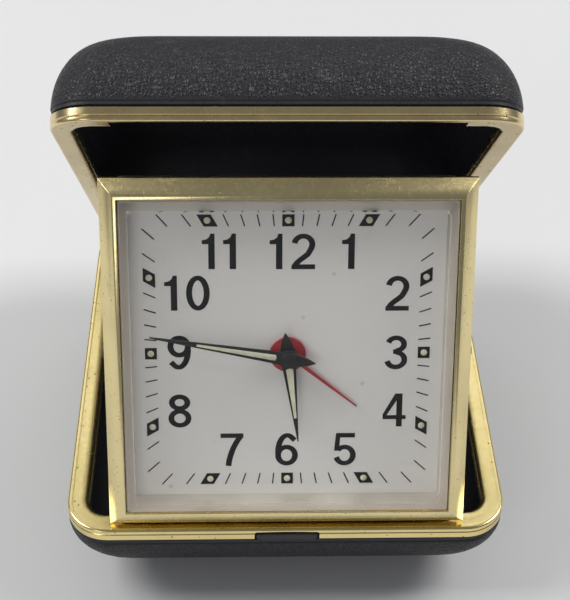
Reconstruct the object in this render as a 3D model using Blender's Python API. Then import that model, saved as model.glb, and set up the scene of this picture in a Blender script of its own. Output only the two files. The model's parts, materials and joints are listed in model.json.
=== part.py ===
"""Folding travel alarm clock: a hinged two-shell case with a square wind-up clock.

The row frame has +X to the clock's right, +Y to the case hinge at the back and +Z up.
Its origin is the centre of the lower shell's flat underside.  The clock is built
upright in its own frame (X across, Y from the bezel's front edge into the clock,
Z up from the bezel's bottom edge) and hangs on an empty on its fold axis, and the
lid is built closed on an empty on the case hinge.
"""
import math

import bmesh
import bpy

MM = 0.001

# Clearances
FIT_GAP = 0.3 * MM            # between fixed neighbours
RUN_GAP = 0.13 * MM           # radial, round a turning shaft
MESH_GAP = 0.06 * MM          # between the tip circles of a gear pair

# Case shells
CASE_WIDTH = 73.0 * MM
CASE_LENGTH = 78.8 * MM
LOWER_DEPTH = 18.0 * MM       # lip plane to the flat underside
LID_DEPTH = 18.3 * MM         # at the middle of its arched crown
SHELL_WALL = 1.2 * MM
CORNER_RADIUS = 7.0 * MM
STRAIGHT_WALL = 3.0 * MM      # lip plane to where the side starts to curve
# how far the curved side reaches in, corner radius gained per unit of inset,
# share of the depth lost to the arch at the front and back
LOWER_FORM = (20.0 * MM, 0.4, 0.0)
LID_FORM = (8.0 * MM, 0.3, 0.26)
CORNER_STEPS = 5
CURVE_STEPS = 6
SIDE_STEPS = 6                # pieces of the long side, for the arch

# Brass rims
RIM_SHEET = 0.5 * MM
RIM_HEIGHT = 2.3 * MM
LIP_WIDTH = 3.8 * MM
LIP_ROLL = 0.9 * MM           # turned-down inner edge
LOWER_LIP_STUB = 2.0 * MM     # lip left in front of the opening
LID_LIP_STUB = 1.1 * MM
LOWER_LIP_OPENING = 58.4 * MM
LID_LIP_OPENING = 54.0 * MM

# Case hinge
LID_OPEN = 49.5               # degrees
HINGE_SETBACK = 1.6 * MM      # axis behind the case
KNUCKLE_RADIUS = 1.2 * MM
HINGE_PIN_RADIUS = 0.6 * MM
LEAF_SHEET = 0.5 * MM
LEAF_HALF = 20.0 * MM
LID_KNUCKLE = (4.2 * MM, 11.8 * MM)
LOWER_KNUCKLE = (12.2 * MM, 20.0 * MM)
HINGE_SPRING_HALF = 3.6 * MM
SPRING_WIRE = 0.22 * MM
SPRING_TURNS = 5

# Latch
BUTTON_WIDTH = 10.1 * MM
BUTTON_HEIGHT = 1.6 * MM
BUTTON_PROUD = 0.2 * MM
BUTTON_DEPTH = 0.85 * MM
CATCH_WIDTH = 6.0 * MM

# Clock case
LEAN = 24.5                   # degrees back from upright
CLOCK_EDGE_Y = 1.2 * MM       # bezel's bottom edge, behind the case front
CLOCK_EDGE_Z = 0.7 * MM       # and above the lip plane
PIVOT_BACK = 2.3 * MM         # fold axis behind the bezel's front edge
PIVOT_BELOW = 2.4 * MM        # and below the bezel's bottom edge
BEZEL_WIDTH = 57.9 * MM
BEZEL_HEIGHT = 57.5 * MM
BEZEL_BAR = 2.9 * MM
BEZEL_RISE = 2.6 * MM
BEZEL_SHOULDER = (0.42, 0.55)   # shares of the bar and the rise where its slope eases
BEZEL_EDGE = 0.8 * MM
CRYSTAL_BORDER = 1.35 * MM
CRYSTAL_RISE = 0.5 * MM
CRYSTAL_THICK = 1.2 * MM
DIAL_DEPTH = 2.1 * MM         # dial face behind the bezel's front edge
DIAL_THICK = 0.4 * MM
HOUSING_INSET = 1.5 * MM      # housing side inside the bezel side
HOUSING_WALL = 1.3 * MM
HOUSING_BACK = 10.4 * MM      # back of the clock behind the bezel's front edge
HOUSING_CORNER = 2.0 * MM
THUMB_RECESS_WIDTH = 16.5 * MM
THUMB_RECESS_DEPTH = 0.7 * MM
THUMB_RECESS_LENGTH = 4.5 * MM
COVER_THICK = 1.2 * MM
SIDE_PIN_RADIUS = 1.15 * MM
SIDE_PIN_PROUD = 0.55 * MM    # beyond the bezel's side
SIDE_PIN_DEPTH = 3.0 * MM

# Fold hinge of the clock
ROD_RADIUS = 0.7 * MM
ROD_HALF = 25.4 * MM
EAR_RADIUS = 1.3 * MM
EAR_X = 20.0 * MM
EAR_WIDTH = 2.0 * MM
BRACKET_X = 24.2 * MM
BRACKET_WIDTH = 1.6 * MM
LIFT_SPRING = (9.0 * MM, 15.0 * MM)
FRONT_RELIEF = 55.0 * MM      # width of the pocket behind the front wall
FRONT_SKIN = 0.7 * MM         # wall left in front of it
FRONT_RELIEF_DROP = 4.4 * MM  # lip plane to its floor

# Hands
HAND_SHEET = 0.3 * MM
MINUTE_LENGTH = 22.0 * MM
HOUR_LENGTH = 14.5 * MM
ALARM_LENGTH = 14.2 * MM
MINUTE_ROOT = 2.4 * MM
HOUR_ROOT = 2.1 * MM
ALARM_ROOT = 0.9 * MM
HUB_SHARE = 0.62              # hub radius over the hand's root width
TAIL_SHARE = (0.42, 0.55)     # tail's widest half over the root, and how far down
MINUTE_TAIL = 4.5 * MM
HOUR_TAIL = 4.1 * MM
ALARM_DISC_RADIUS = 2.9 * MM
MINUTE_ANGLE = 279.7          # degrees clockwise from 12
HOUR_ANGLE = 173.3
ALARM_ANGLE = 128.7
ALARM_HAND_LIFT = 0.5 * MM    # underside above the dial
HOUR_HAND_LIFT = 1.7 * MM
MINUTE_HAND_LIFT = 2.9 * MM

# Arbors and pipes on the dial's centre
ARBOR_RADIUS = 0.45 * MM
PIPE_WALL = 0.33 * MM

# Movement: depths behind the bezel's front edge
ALARM_LEVEL = 2.85 * MM
HOUR_LEVEL = 3.4 * MM
CANNON_LEVEL = 3.95 * MM
FRONT_PLATE_LEVEL = 4.5 * MM
CENTRE_LEVEL = 5.3 * MM
THIRD_LEVEL = 6.15 * MM
FOURTH_LEVEL = 7.0 * MM
BACK_PLATE_LEVEL = 8.3 * MM
PLATE_SHEET = 0.4 * MM
WHEEL_SHEET = 0.35 * MM
PLATE_HALF = 23.0 * MM
PILLAR_RADIUS = 1.4 * MM
PILLAR_PLACE = 20.5 * MM
TRAIN_ARBOR_RADIUS = 0.35 * MM

# Gear tip radii and teeth
CENTRE_WHEEL = (7.0 * MM, 64)
THIRD_PINION = (0.95 * MM, 8)
THIRD_WHEEL = (6.2 * MM, 60)
FOURTH_PINION = (0.95 * MM, 8)
FOURTH_WHEEL = (5.2 * MM, 48)
ESCAPE_PINION = (0.8 * MM, 6)
ESCAPE_WHEEL = (3.4 * MM, 15)
BARREL = (8.5 * MM, 60)
CENTRE_PINION = (1.1 * MM, 10)
ALARM_BARREL_RADIUS = 7.5 * MM
BARREL_HEIGHT = 1.7 * MM
CANNON_PINION = (1.3 * MM, 12)
MINUTE_WHEEL = (3.9 * MM, 36)
MINUTE_PINION = (1.1 * MM, 10)
HOUR_WHEEL = (4.1 * MM, 40)
ALARM_WHEEL = (9.0 * MM, 72)
ALARM_SET_PINION = (1.5 * MM, 12)

# Directions of the arbors from one another, degrees from +X towards 12 o'clock
THIRD_DIRECTION = 35.0
FOURTH_DIRECTION = 110.0
ESCAPE_DIRECTION = 170.0
PALLET_DIRECTION = 175.0
BALANCE_DIRECTION = 172.0
BARREL_DIRECTION = 215.0
ALARM_SET_DIRECTION = -20.0
MINUTE_WHEEL_DIRECTION = 90.0
PALLET_DISTANCE = 5.4 * MM
BALANCE_DISTANCE = 7.9 * MM
BALANCE_RADIUS = 5.3 * MM
BALANCE_WINDOW = (0.5 * MM, 3.2 * MM)   # from the spokes to the rim
PALLET_HEAD = (0.8 * MM, 1.0 * MM)      # half widths at the arbor and the pallets
PALLET_TAIL = (4.6 * MM, 0.35 * MM)     # length and half width
HAIRSPRING_START = 0.9 * MM
HAIRSPRING_PITCH = 0.75 * MM
HAIRSPRING_STRIP = (0.15 * MM, 0.3 * MM)
HAIRSPRING_TURNS = 3
ALARM_BARREL_PLACE = (13.5 * MM, -12.0 * MM)
HAMMER_PLACE = (19.0 * MM, 4.0 * MM)
HAMMER_ARM = 9.0 * MM
HAMMER_WIDTH = (0.5 * MM, 1.6 * MM)     # half width of the arm, and the head's reach
SOUNDING_POST_STEP = (3.4 * MM, 7.0 * MM)   # from the hammer's arbor

# Keys and knobs on the back
KEY_HALF = 6.0 * MM
KEY_HEIGHT = 3.1 * MM
KEY_SHEET = 1.2 * MM
BARREL_ARBOR_RADIUS = 0.8 * MM
SET_KNOB_RADIUS = 2.8 * MM
ALARM_KNOB_RADIUS = 2.3 * MM
KNOB_HEIGHT = 2.2 * MM
REGULATOR_ARM = 4.5 * MM
REGULATOR_HUB = 1.2 * MM
REGULATOR_WIDTH = (0.4 * MM, 0.25 * MM)
REGULATOR_SHEET = 0.4 * MM
SHUTOFF_PLACE = (12.0 * MM, 18.0 * MM)
SHUTOFF_SIZE = (3.2 * MM, 2.2 * MM)
SHUTOFF_HEIGHT = 1.6 * MM
SHUTOFF_EDGE = 0.4 * MM
SCREW_RADIUS = 1.2 * MM
SCREW_HEAD = 0.6 * MM
SCREW_PLACE = 22.5 * MM

# Finishes: colour, roughness, metallic
BLACK_LEATHERETTE = ((0.018, 0.020, 0.025), 0.55, 0.0)
BLACK_PLASTIC = ((0.015, 0.015, 0.017), 0.45, 0.0)
BRASS = ((0.80, 0.62, 0.28), 0.25, 1.0)
STEEL = ((0.55, 0.55, 0.56), 0.35, 1.0)
ACRYLIC = ((0.90, 0.92, 0.92), 0.05, 0.0)
DIAL_WHITE = ((0.78, 0.77, 0.76), 0.40, 0.0)
HAND_BLACK = ((0.02, 0.02, 0.02), 0.40, 0.0)
ALARM_RED = ((0.55, 0.03, 0.04), 0.40, 0.0)
PIN_BROWN = ((0.10, 0.06, 0.04), 0.50, 0.6)

LIP_Z = LOWER_DEPTH
FRONT_Y = -CASE_LENGTH / 2
HINGE_Y = CASE_LENGTH / 2 + HINGE_SETBACK
DIAL_CENTRE = BEZEL_HEIGHT / 2
BACK_FACE = HOUSING_BACK + FIT_GAP


# ---------------------------------------------------------------- shapes

def box(x, y, z):
    """Closed box between (low, high) pairs."""
    shape = bmesh.new()
    corners = [shape.verts.new((i, j, k)) for i in x for j in y for k in z]
    for face in ((0, 1, 3, 2), (4, 6, 7, 5), (0, 4, 5, 1), (2, 3, 7, 6), (0, 2, 6, 4), (1, 5, 7, 3)):
        shape.faces.new([corners[i] for i in face])
    return shape


def loft(loops, ring=False):
    """Skin over equal loops, closed on itself or with flat end caps."""
    shape = bmesh.new()
    rows = [[shape.verts.new(point) for point in loop] for loop in loops]
    pairs = list(zip(rows, rows[1:]))
    if ring:
        pairs.append((rows[-1], rows[0]))
    else:
        shape.faces.new(rows[0])
        shape.faces.new(rows[-1])
    for low, high in pairs:
        for i in range(len(low)):
            j = (i + 1) % len(low)
            shape.faces.new((low[i], low[j], high[j], high[i]))
    return shape


def rounded_rect(half_x, half_y, radius, z, side_steps=1):
    """Loop round a rectangle with round corners; its sides along Y can be stepped."""
    points = []
    straight = half_y - radius
    for quarter, (sx, sy) in enumerate(((1, 1), (-1, 1), (-1, -1), (1, -1))):
        for step in range(CORNER_STEPS + 1):
            turn = math.radians(90) * (quarter + step / CORNER_STEPS)
            points.append((sx * (half_x - radius) + radius * math.cos(turn),
                           sy * straight + radius * math.sin(turn), z))
        if sx == sy:
            continue
        for step in range(1, side_steps):
            points.append((sx * half_x, sy * straight * (1 - 2 * step / side_steps), z))
    return points


def turned(profile, steps=16):
    """Circles about Y through (radius, y) points."""
    circles = []
    for radius, y in profile:
        circles.append([(radius * math.cos(math.tau * i / steps), y,
                         radius * math.sin(math.tau * i / steps)) for i in range(steps)])
    return circles


def shaft(profile, steps=16):
    return loft(turned(profile, steps))


def plate(outline, y):
    """Flat outline of (x, z) points, between two depths."""
    return loft([[(px, depth, pz) for px, pz in outline] for depth in y])


def gear(tip_radius, teeth, y):
    """Disc with pointed teeth; its tooth depth follows its pitch."""
    depth = 1.6 * tip_radius / teeth
    outline = []
    for i in range(2 * teeth):
        radius = tip_radius - (depth if i % 2 else 0.0)
        turn = math.pi * i / teeth
        outline.append((radius * math.sin(turn), radius * math.cos(turn)))
    return plate(outline, y)


def coil(radius, wire, half_x, centre_x, turns, steps=10, sides=5):
    """Coil spring along X."""
    count = turns * steps
    loops = []
    for i in range(count + 1):
        turn = math.tau * i / steps
        x = centre_x + half_x * (2 * i / count - 1)
        loop = []
        for j in range(sides):
            around = math.tau * j / sides
            reach = radius + wire * math.cos(around)
            loop.append((x + wire * math.sin(around), reach * math.cos(turn), reach * math.sin(turn)))
        loops.append(loop)
    return loft(loops)


def moved(shape, x=0.0, y=0.0, z=0.0):
    bmesh.ops.translate(shape, verts=shape.verts, vec=(x, y, z))
    return shape


def along_x(shape):
    """Turn a shape made along Y so that it lies along X."""
    for vert in shape.verts:
        x, y, z = vert.co
        vert.co = (y, x, z)
    return shape


def holder(shape):
    bmesh.ops.recalc_face_normals(shape, faces=shape.faces)
    mesh = bpy.data.meshes.new("blank")
    shape.to_mesh(mesh)
    shape.free()
    blank = bpy.data.objects.new("blank", mesh)
    bpy.context.collection.objects.link(blank)
    return blank


def combine(operation, body, *tools):
    """Join the tools to the body (UNION) or cut them from it (DIFFERENCE)."""
    for tool in tools:
        base, other = holder(body), holder(tool)
        modifier = base.modifiers.new("Boolean", "BOOLEAN")
        modifier.operation = operation
        modifier.object = other
        bpy.context.view_layer.update()
        body = bmesh.new()
        body.from_object(base, bpy.context.evaluated_depsgraph_get())
        for blank in (base, other):
            mesh = blank.data
            bpy.data.objects.remove(blank)
            bpy.data.meshes.remove(mesh)
    return body


def join(body, *tools):
    return combine("UNION", body, *tools)


def cut(body, *tools):
    return combine("DIFFERENCE", body, *tools)


def place(name, shape, finish, parent=None, at=(0.0, 0.0, 0.0), turn=0.0, smooth=True):
    """Make the named object; at is in the parent's frame and turn is about Y."""
    colour, roughness, metallic = finish
    bmesh.ops.recalc_face_normals(shape, faces=shape.faces)
    mesh = bpy.data.meshes.new(name)
    shape.to_mesh(mesh)
    shape.free()
    if smooth:
        mesh.shade_smooth()
        mesh.set_sharp_from_angle(angle=math.radians(32))
    material = bpy.data.materials.new(name)
    material.use_nodes = True
    shader = material.node_tree.nodes["Principled BSDF"]
    shader.inputs["Base Color"].default_value = (*colour, 1.0)
    shader.inputs["Roughness"].default_value = roughness
    shader.inputs["Metallic"].default_value = metallic
    mesh.materials.append(material)
    obj = bpy.data.objects.new(name, mesh)
    obj.location = at
    obj.rotation_euler = (0.0, math.radians(turn), 0.0)
    obj.parent = parent
    bpy.context.collection.objects.link(obj)
    return obj


def axis_empty(name, at, tilt):
    """Empty on a hinge axis that runs along X."""
    empty = bpy.data.objects.new(name, None)
    empty.location = at
    empty.rotation_euler = (math.radians(tilt), 0.0, 0.0)
    bpy.context.collection.objects.link(empty)
    return empty


# ---------------------------------------------------------------- case

def side_curve(depth, reach, wall):
    """(inset, drop) points round one side, from its straight wall to the crown."""
    points = []
    for step in range(1, CURVE_STEPS + 1):
        turn = math.radians(90) * step / CURVE_STEPS
        inward = (reach - wall / 2) * (1 - math.cos(turn))
        points.append((wall + inward, STRAIGHT_WALL + (depth - wall - STRAIGHT_WALL) * math.sin(turn)))
    return points


def crowned(loops):
    """Skin over the shell's loops; its two crowns are strips from side to side."""
    shape = bmesh.new()
    rows = [[shape.verts.new(point) for point in loop] for loop in loops]
    count = len(rows[0])
    for low, high in zip(rows, rows[1:]):
        for i in range(count):
            shape.faces.new((low[i - 1], low[i], high[i], high[i - 1]))
    for row in (rows[0], rows[-1]):
        for i in range(count // 2 - 1):
            right, left = CORNER_STEPS - i, CORNER_STEPS + 1 + i
            shape.faces.new((row[right], row[left], row[left + 1], row[right - 1]))
    return shape


def shell(depth, form, side):
    """Half of the case, lip plane at z = 0; side is -1 below it and +1 above."""
    reach, softening, arch = form
    seat = RIM_SHEET + FIT_GAP
    shoulder = RIM_HEIGHT + FIT_GAP
    outside = [(seat, seat), (seat, shoulder), (0.0, shoulder), (0.0, STRAIGHT_WALL)]
    outside += side_curve(depth, reach, 0.0)
    inside = [(seat + SHELL_WALL, seat), (seat + SHELL_WALL, shoulder), (SHELL_WALL, STRAIGHT_WALL)]
    inside += side_curve(depth, reach, SHELL_WALL)
    loops = []
    for inset, drop in outside[::-1] + inside:
        curved = max(drop - STRAIGHT_WALL, 0.0)
        loop = rounded_rect(CASE_WIDTH / 2 - inset, CASE_LENGTH / 2 - inset,
                            CORNER_RADIUS + softening * inset, drop, SIDE_STEPS)
        loops.append([(x, y, side * (z - curved * arch * (2 * y / CASE_LENGTH) ** 2)) for x, y, z in loop])
    return crowned(loops)


def rim(side):
    """Brass channel over a shell's edge: flange outside, lip on top, rolled inner edge."""
    section = [(0.0, RIM_HEIGHT), (0.0, RIM_SHEET / 2), (RIM_SHEET / 2, 0.0), (LIP_WIDTH - RIM_SHEET, 0.0),
               (LIP_WIDTH, RIM_SHEET), (LIP_WIDTH, RIM_SHEET + LIP_ROLL),
               (LIP_WIDTH - RIM_SHEET, RIM_SHEET + LIP_ROLL), (LIP_WIDTH - RIM_SHEET, RIM_SHEET),
               (RIM_SHEET, RIM_SHEET), (RIM_SHEET, RIM_HEIGHT)]
    loops = [rounded_rect(CASE_WIDTH / 2 - inset, CASE_LENGTH / 2 - inset, CORNER_RADIUS - inset, side * drop)
             for inset, drop in section]
    return loft(loops, ring=True)


def lip_opening(width, stub):
    """Cutter for the front lip, from behind the stub to past the rolled edge."""
    past = LIP_WIDTH + LIP_ROLL
    return box((-width / 2, width / 2), (FRONT_Y + stub, FRONT_Y + past), (-past, past))


def case_bottom():
    button_slot = BUTTON_WIDTH / 2 + FIT_GAP
    shape = cut(shell(LOWER_DEPTH, LOWER_FORM, -1),
                box((-FRONT_RELIEF / 2, FRONT_RELIEF / 2),
                    (FRONT_Y + FRONT_SKIN, FRONT_Y + LIP_WIDTH), (-FRONT_RELIEF_DROP, MM)))
    place("lower_shell", moved(shape, z=LIP_Z), BLACK_LEATHERETTE)
    notch = box((-button_slot, button_slot), (FRONT_Y - MM, FRONT_Y + RIM_SHEET + FIT_GAP / 2),
                (-RIM_HEIGHT - MM, -RIM_SHEET))
    shape = cut(rim(-1), lip_opening(LOWER_LIP_OPENING, LOWER_LIP_STUB), notch)
    place("lower_rim", moved(shape, z=LIP_Z), BRASS)


def lid(empty):
    drop = -HINGE_Y
    catch_slot = CATCH_WIDTH / 2 + FIT_GAP
    slot = box((-catch_slot, catch_slot), (FRONT_Y - MM, FRONT_Y + LIP_WIDTH), (-MM, RIM_HEIGHT + FIT_GAP))
    shape = cut(shell(LID_DEPTH, LID_FORM, 1), slot)
    place("lid_shell", moved(shape, y=drop), BLACK_LEATHERETTE, empty)
    shape = cut(rim(1), lip_opening(LID_LIP_OPENING, LID_LIP_STUB))
    place("lid_rim", moved(shape, y=drop), BRASS, empty)
    front = FRONT_Y + drop
    low = RIM_SHEET + FIT_GAP
    tongue_back = front + low + BUTTON_DEPTH
    shape = join(box((-CATCH_WIDTH / 2, CATCH_WIDTH / 2), (front + low, tongue_back),
                     (low, RIM_HEIGHT)),
                 box((-CATCH_WIDTH / 2, CATCH_WIDTH / 2), (front + LID_LIP_STUB + FIT_GAP, tongue_back),
                     (RIM_SHEET / 2, low + RIM_SHEET)))
    place("lid_catch", shape, BRASS, empty, smooth=False)


def leaf(knuckle, side):
    """Hinge leaf on its axis: a strip on the flange, with two bored knuckles."""
    near = -HINGE_SETBACK + FIT_GAP
    strip_y = (near, near + LEAF_SHEET)
    clear = KNUCKLE_RADIUS + FIT_GAP
    shape = box((-LEAF_HALF, LEAF_HALF), strip_y, sorted((side * clear, side * RIM_HEIGHT)))
    for mirror in (-1, 1):
        low, high = sorted((mirror * knuckle[0], mirror * knuckle[1]))
        barrel = along_x(shaft(((KNUCKLE_RADIUS, low), (KNUCKLE_RADIUS, high)), 12))
        lug = box((low, high), strip_y, sorted((0.0, side * (clear + RIM_SHEET))))
        shape = join(shape, lug, barrel)
    bore = HINGE_PIN_RADIUS + RUN_GAP
    return cut(shape, along_x(shaft(((bore, -LEAF_HALF - MM), (bore, LEAF_HALF + MM)), 12)))


def case_hinge(empty):
    axis = (0.0, HINGE_Y, LIP_Z)
    place("lower_hinge_leaf", leaf(LOWER_KNUCKLE, -1), BRASS, at=axis)
    place("lid_hinge_leaf", leaf(LID_KNUCKLE, 1), BRASS, empty)
    reach = LEAF_HALF + FIT_GAP
    pin = along_x(shaft(((HINGE_PIN_RADIUS, -reach), (HINGE_PIN_RADIUS, reach)), 12))
    place("case_hinge_pin", pin, STEEL, at=axis)
    spring_radius = HINGE_PIN_RADIUS + RUN_GAP + SPRING_WIRE
    spring = coil(spring_radius, SPRING_WIRE, HINGE_SPRING_HALF, 0.0, SPRING_TURNS)
    place("hinge_spring", spring, STEEL, at=axis)


def latch():
    """Push button in the lower flange's notch, its origin on its front face."""
    top = -RIM_SHEET - FIT_GAP
    shape = box((-BUTTON_WIDTH / 2, BUTTON_WIDTH / 2), (0.0, BUTTON_DEPTH), (top - BUTTON_HEIGHT, top))
    edges = [edge for edge in shape.edges if all(vert.co.y == 0.0 for vert in edge.verts)]
    bmesh.ops.bevel(shape, geom=edges, offset=BUTTON_PROUD, segments=1, affect="EDGES")
    place("latch_button", shape, BLACK_PLASTIC, at=(0.0, FRONT_Y - BUTTON_PROUD, LIP_Z), smooth=False)


# ---------------------------------------------------------------- clock case

def at_clock(x=0.0, y=0.0, z=0.0):
    """A point of the clock's own frame, seen from the fold axis."""
    return (x, y - PIVOT_BACK, z + PIVOT_BELOW)


def on_dial(x=0.0, z=0.0, y=0.0):
    """A point measured from the dial's centre line."""
    return at_clock(x, y, DIAL_CENTRE + z)


def square_frame(section, half_x, half_z):
    """Mitred frame from (inset, depth) points, centred on x = z = 0."""
    loops = []
    for inset, depth in section:
        loops.append([(sx * (half_x - inset), depth, sz * (half_z - inset))
                      for sx, sz in ((1, 1), (-1, 1), (-1, -1), (1, -1))])
    return loft(loops, ring=True)


def bezel_and_crystal(empty):
    half_x, half_z = BEZEL_WIDTH / 2, BEZEL_HEIGHT / 2
    shoulder = (BEZEL_SHOULDER[0] * BEZEL_BAR, -BEZEL_SHOULDER[1] * BEZEL_RISE)
    section = [(0.0, BEZEL_EDGE), (0.0, 0.0), shoulder, (BEZEL_BAR, -BEZEL_RISE), (BEZEL_BAR, BEZEL_EDGE)]
    place("bezel", square_frame(section, half_x, half_z), BRASS, empty, on_dial(), smooth=False)
    edge = BEZEL_BAR + FIT_GAP
    top = edge + CRYSTAL_BORDER
    front = -BEZEL_RISE - CRYSTAL_RISE
    layers = ((top, front), (edge, -BEZEL_RISE), (edge, front + CRYSTAL_THICK))
    loops = [[(sx * (half_x - inset), depth, sz * (half_z - inset))
              for sx, sz in ((1, 1), (-1, 1), (-1, -1), (1, -1))] for inset, depth in layers]
    place("crystal", loft(loops), ACRYLIC, empty, on_dial(), smooth=False)


def inner_half():
    """Half sizes of the room inside the housing: across and up."""
    return (BEZEL_WIDTH / 2 - HOUSING_INSET - HOUSING_WALL,
            BEZEL_HEIGHT / 2 - HOUSING_INSET - HOUSING_WALL)


def dial(empty):
    room_x, room_z = inner_half()
    half_x, half_z = room_x - FIT_GAP, room_z - FIT_GAP
    shape = box((-half_x, half_x), (DIAL_DEPTH, DIAL_DEPTH + DIAL_THICK), (-half_z, half_z))
    hole = pipe_radii(2)[1] + FIT_GAP
    shape = cut(shape, shaft(((hole, 0.0), (hole, 2 * DIAL_DEPTH)), 16))
    place("dial", shape, DIAL_WHITE, empty, on_dial())


def housing(empty):
    half_x = BEZEL_WIDTH / 2 - HOUSING_INSET
    half_z = BEZEL_HEIGHT / 2 - HOUSING_INSET
    room_x, room_z = inner_half()
    front = BEZEL_EDGE + FIT_GAP
    outer = []
    section = ((0.0, front), (0.0, HOUSING_BACK - HOUSING_CORNER), (HOUSING_CORNER / 2, HOUSING_BACK))
    for inset, depth in section:
        outer.append([(sx * (half_x - inset), depth, sz * (half_z - inset))
                      for sx, sz in ((1, 1), (-1, 1), (-1, -1), (1, -1))])
    shape = cut(loft(outer), box((-room_x, room_x), (0.0, HOUSING_BACK + MM), (-room_z, room_z)))
    recess = box((-THUMB_RECESS_WIDTH / 2, THUMB_RECESS_WIDTH / 2),
                 (front + HOUSING_WALL, front + HOUSING_WALL + THUMB_RECESS_LENGTH),
                 (half_z - THUMB_RECESS_DEPTH, half_z + MM))
    shape = cut(shape, recess)
    pivot_z = -DIAL_CENTRE - PIVOT_BELOW
    for mirror in (-1, 1):
        low, high = mirror * EAR_X - EAR_WIDTH / 2, mirror * EAR_X + EAR_WIDTH / 2
        knuckle = moved(along_x(shaft(((EAR_RADIUS, low), (EAR_RADIUS, high)), 12)), y=PIVOT_BACK, z=pivot_z)
        web = box((low, high), (PIVOT_BACK - EAR_RADIUS * 0.7, PIVOT_BACK + EAR_RADIUS),
                  (pivot_z, -half_z + HOUSING_WALL))
        shape = join(shape, web, knuckle)
    bore = ROD_RADIUS + RUN_GAP
    drill = moved(along_x(shaft(((bore, -EAR_X - EAR_WIDTH), (bore, EAR_X + EAR_WIDTH)), 12)),
                  y=PIVOT_BACK, z=pivot_z)
    place("clock_housing", cut(shape, drill), BLACK_PLASTIC, empty, on_dial())
    for name, mirror in (("side_pin_left", -1), ("side_pin_right", 1)):
        low, high = sorted((mirror * (half_x + FIT_GAP), mirror * (BEZEL_WIDTH / 2 + SIDE_PIN_PROUD)))
        pin = along_x(shaft(((SIDE_PIN_RADIUS, low), (SIDE_PIN_RADIUS, high)), 12))
        place(name, pin, PIN_BROWN, empty, on_dial(y=SIDE_PIN_DEPTH))


def fold_hinge():
    """Rod across the lower case behind its front flange, and the brackets that hold it."""
    rest = clock_axis()
    rod = along_x(shaft(((ROD_RADIUS, -ROD_HALF), (ROD_RADIUS, ROD_HALF)), 12))
    place("clock_hinge_rod", rod, STEEL, at=rest)
    bore = ROD_RADIUS + RUN_GAP
    for name, mirror in (("rod_bracket_left", -1), ("rod_bracket_right", 1)):
        low, high = mirror * BRACKET_X - BRACKET_WIDTH / 2, mirror * BRACKET_X + BRACKET_WIDTH / 2
        shape = join(box((low, high), (-EAR_RADIUS, 2 * EAR_RADIUS), (-EAR_RADIUS, EAR_RADIUS)),
                     box((low, high), (EAR_RADIUS / 2, 2 * EAR_RADIUS), (-3 * EAR_RADIUS, 0.0)))
        shape = cut(shape, along_x(shaft(((bore, low - MM), (bore, high + MM)), 12)))
        place(name, shape, STEEL, at=rest, smooth=False)
    centre = sum(LIFT_SPRING) / 2
    half = (LIFT_SPRING[1] - LIFT_SPRING[0]) / 2
    spring = coil(ROD_RADIUS + RUN_GAP + SPRING_WIRE, SPRING_WIRE, half, centre, SPRING_TURNS)
    place("lift_spring", spring, STEEL, at=rest)


# ---------------------------------------------------------------- hands

def pipe_radii(order):
    """(inner, outer) radius of the hour pipe, order 1, or the alarm pipe, order 2."""
    inner = ARBOR_RADIUS + RUN_GAP
    for _ in range(order - 1):
        inner += PIPE_WALL + RUN_GAP
    return inner, inner + PIPE_WALL


def pointed_hand(length, root, tail, sheet_y):
    """Tapered hand with a pointed tail, along +Z from its hub."""
    hub = root * HUB_SHARE
    half = [(0.0, length), (root / 2, hub), (hub, 0.0), (root / 2, -hub),
            (root * TAIL_SHARE[0], -tail * TAIL_SHARE[1]), (0.0, -tail)]
    return plate(half + [(-x, z) for x, z in half[-2:0:-1]], sheet_y)


def hand_levels(lift):
    """(front, back) depth of a hand whose underside is lift above the dial."""
    back = DIAL_DEPTH - lift
    return back - HAND_SHEET, back


def hands(empty):
    front, back = hand_levels(MINUTE_HAND_LIFT)
    cap = shaft(((MINUTE_ROOT / 3, front - HAND_SHEET), (MINUTE_ROOT / 2, front + HAND_SHEET / 2)), 12)
    shape = join(pointed_hand(MINUTE_LENGTH, MINUTE_ROOT, MINUTE_TAIL, (front, back)), cap)
    place("minute_hand", shape, HAND_BLACK, empty, on_dial(), MINUTE_ANGLE, smooth=False)

    front, back = hand_levels(HOUR_HAND_LIFT)
    inner, outer = pipe_radii(1)
    shape = join(pointed_hand(HOUR_LENGTH, HOUR_ROOT, HOUR_TAIL, (front, back)),
                 shaft(((outer + PIPE_WALL, front), (outer + PIPE_WALL, back)), 16))
    shape = cut(shape, shaft(((inner, front - MM), (inner, back + MM)), 16))
    place("hour_hand", shape, HAND_BLACK, empty, on_dial(), HOUR_ANGLE, smooth=False)

    front, back = hand_levels(ALARM_HAND_LIFT)
    inner, outer = pipe_radii(2)
    pointer = plate([(0.0, ALARM_LENGTH), (ALARM_ROOT / 2, 0.0), (-ALARM_ROOT / 2, 0.0)], (front, back))
    disc = shaft(((ALARM_DISC_RADIUS, front), (ALARM_DISC_RADIUS, back)), 24)
    shape = cut(join(disc, pointer), shaft(((inner, front - MM), (inner, back + MM)), 16))
    place("alarm_hand", shape, ALARM_RED, empty, on_dial(), ALARM_ANGLE, smooth=False)


# ---------------------------------------------------------------- movement

def polar(distance, direction, start=(0.0, 0.0)):
    turn = math.radians(direction)
    return start[0] + distance * math.cos(turn), start[1] + distance * math.sin(turn)


def meshing(first, second):
    """Centre distance of a gear pair."""
    return first[0] + second[0] + MESH_GAP


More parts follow.
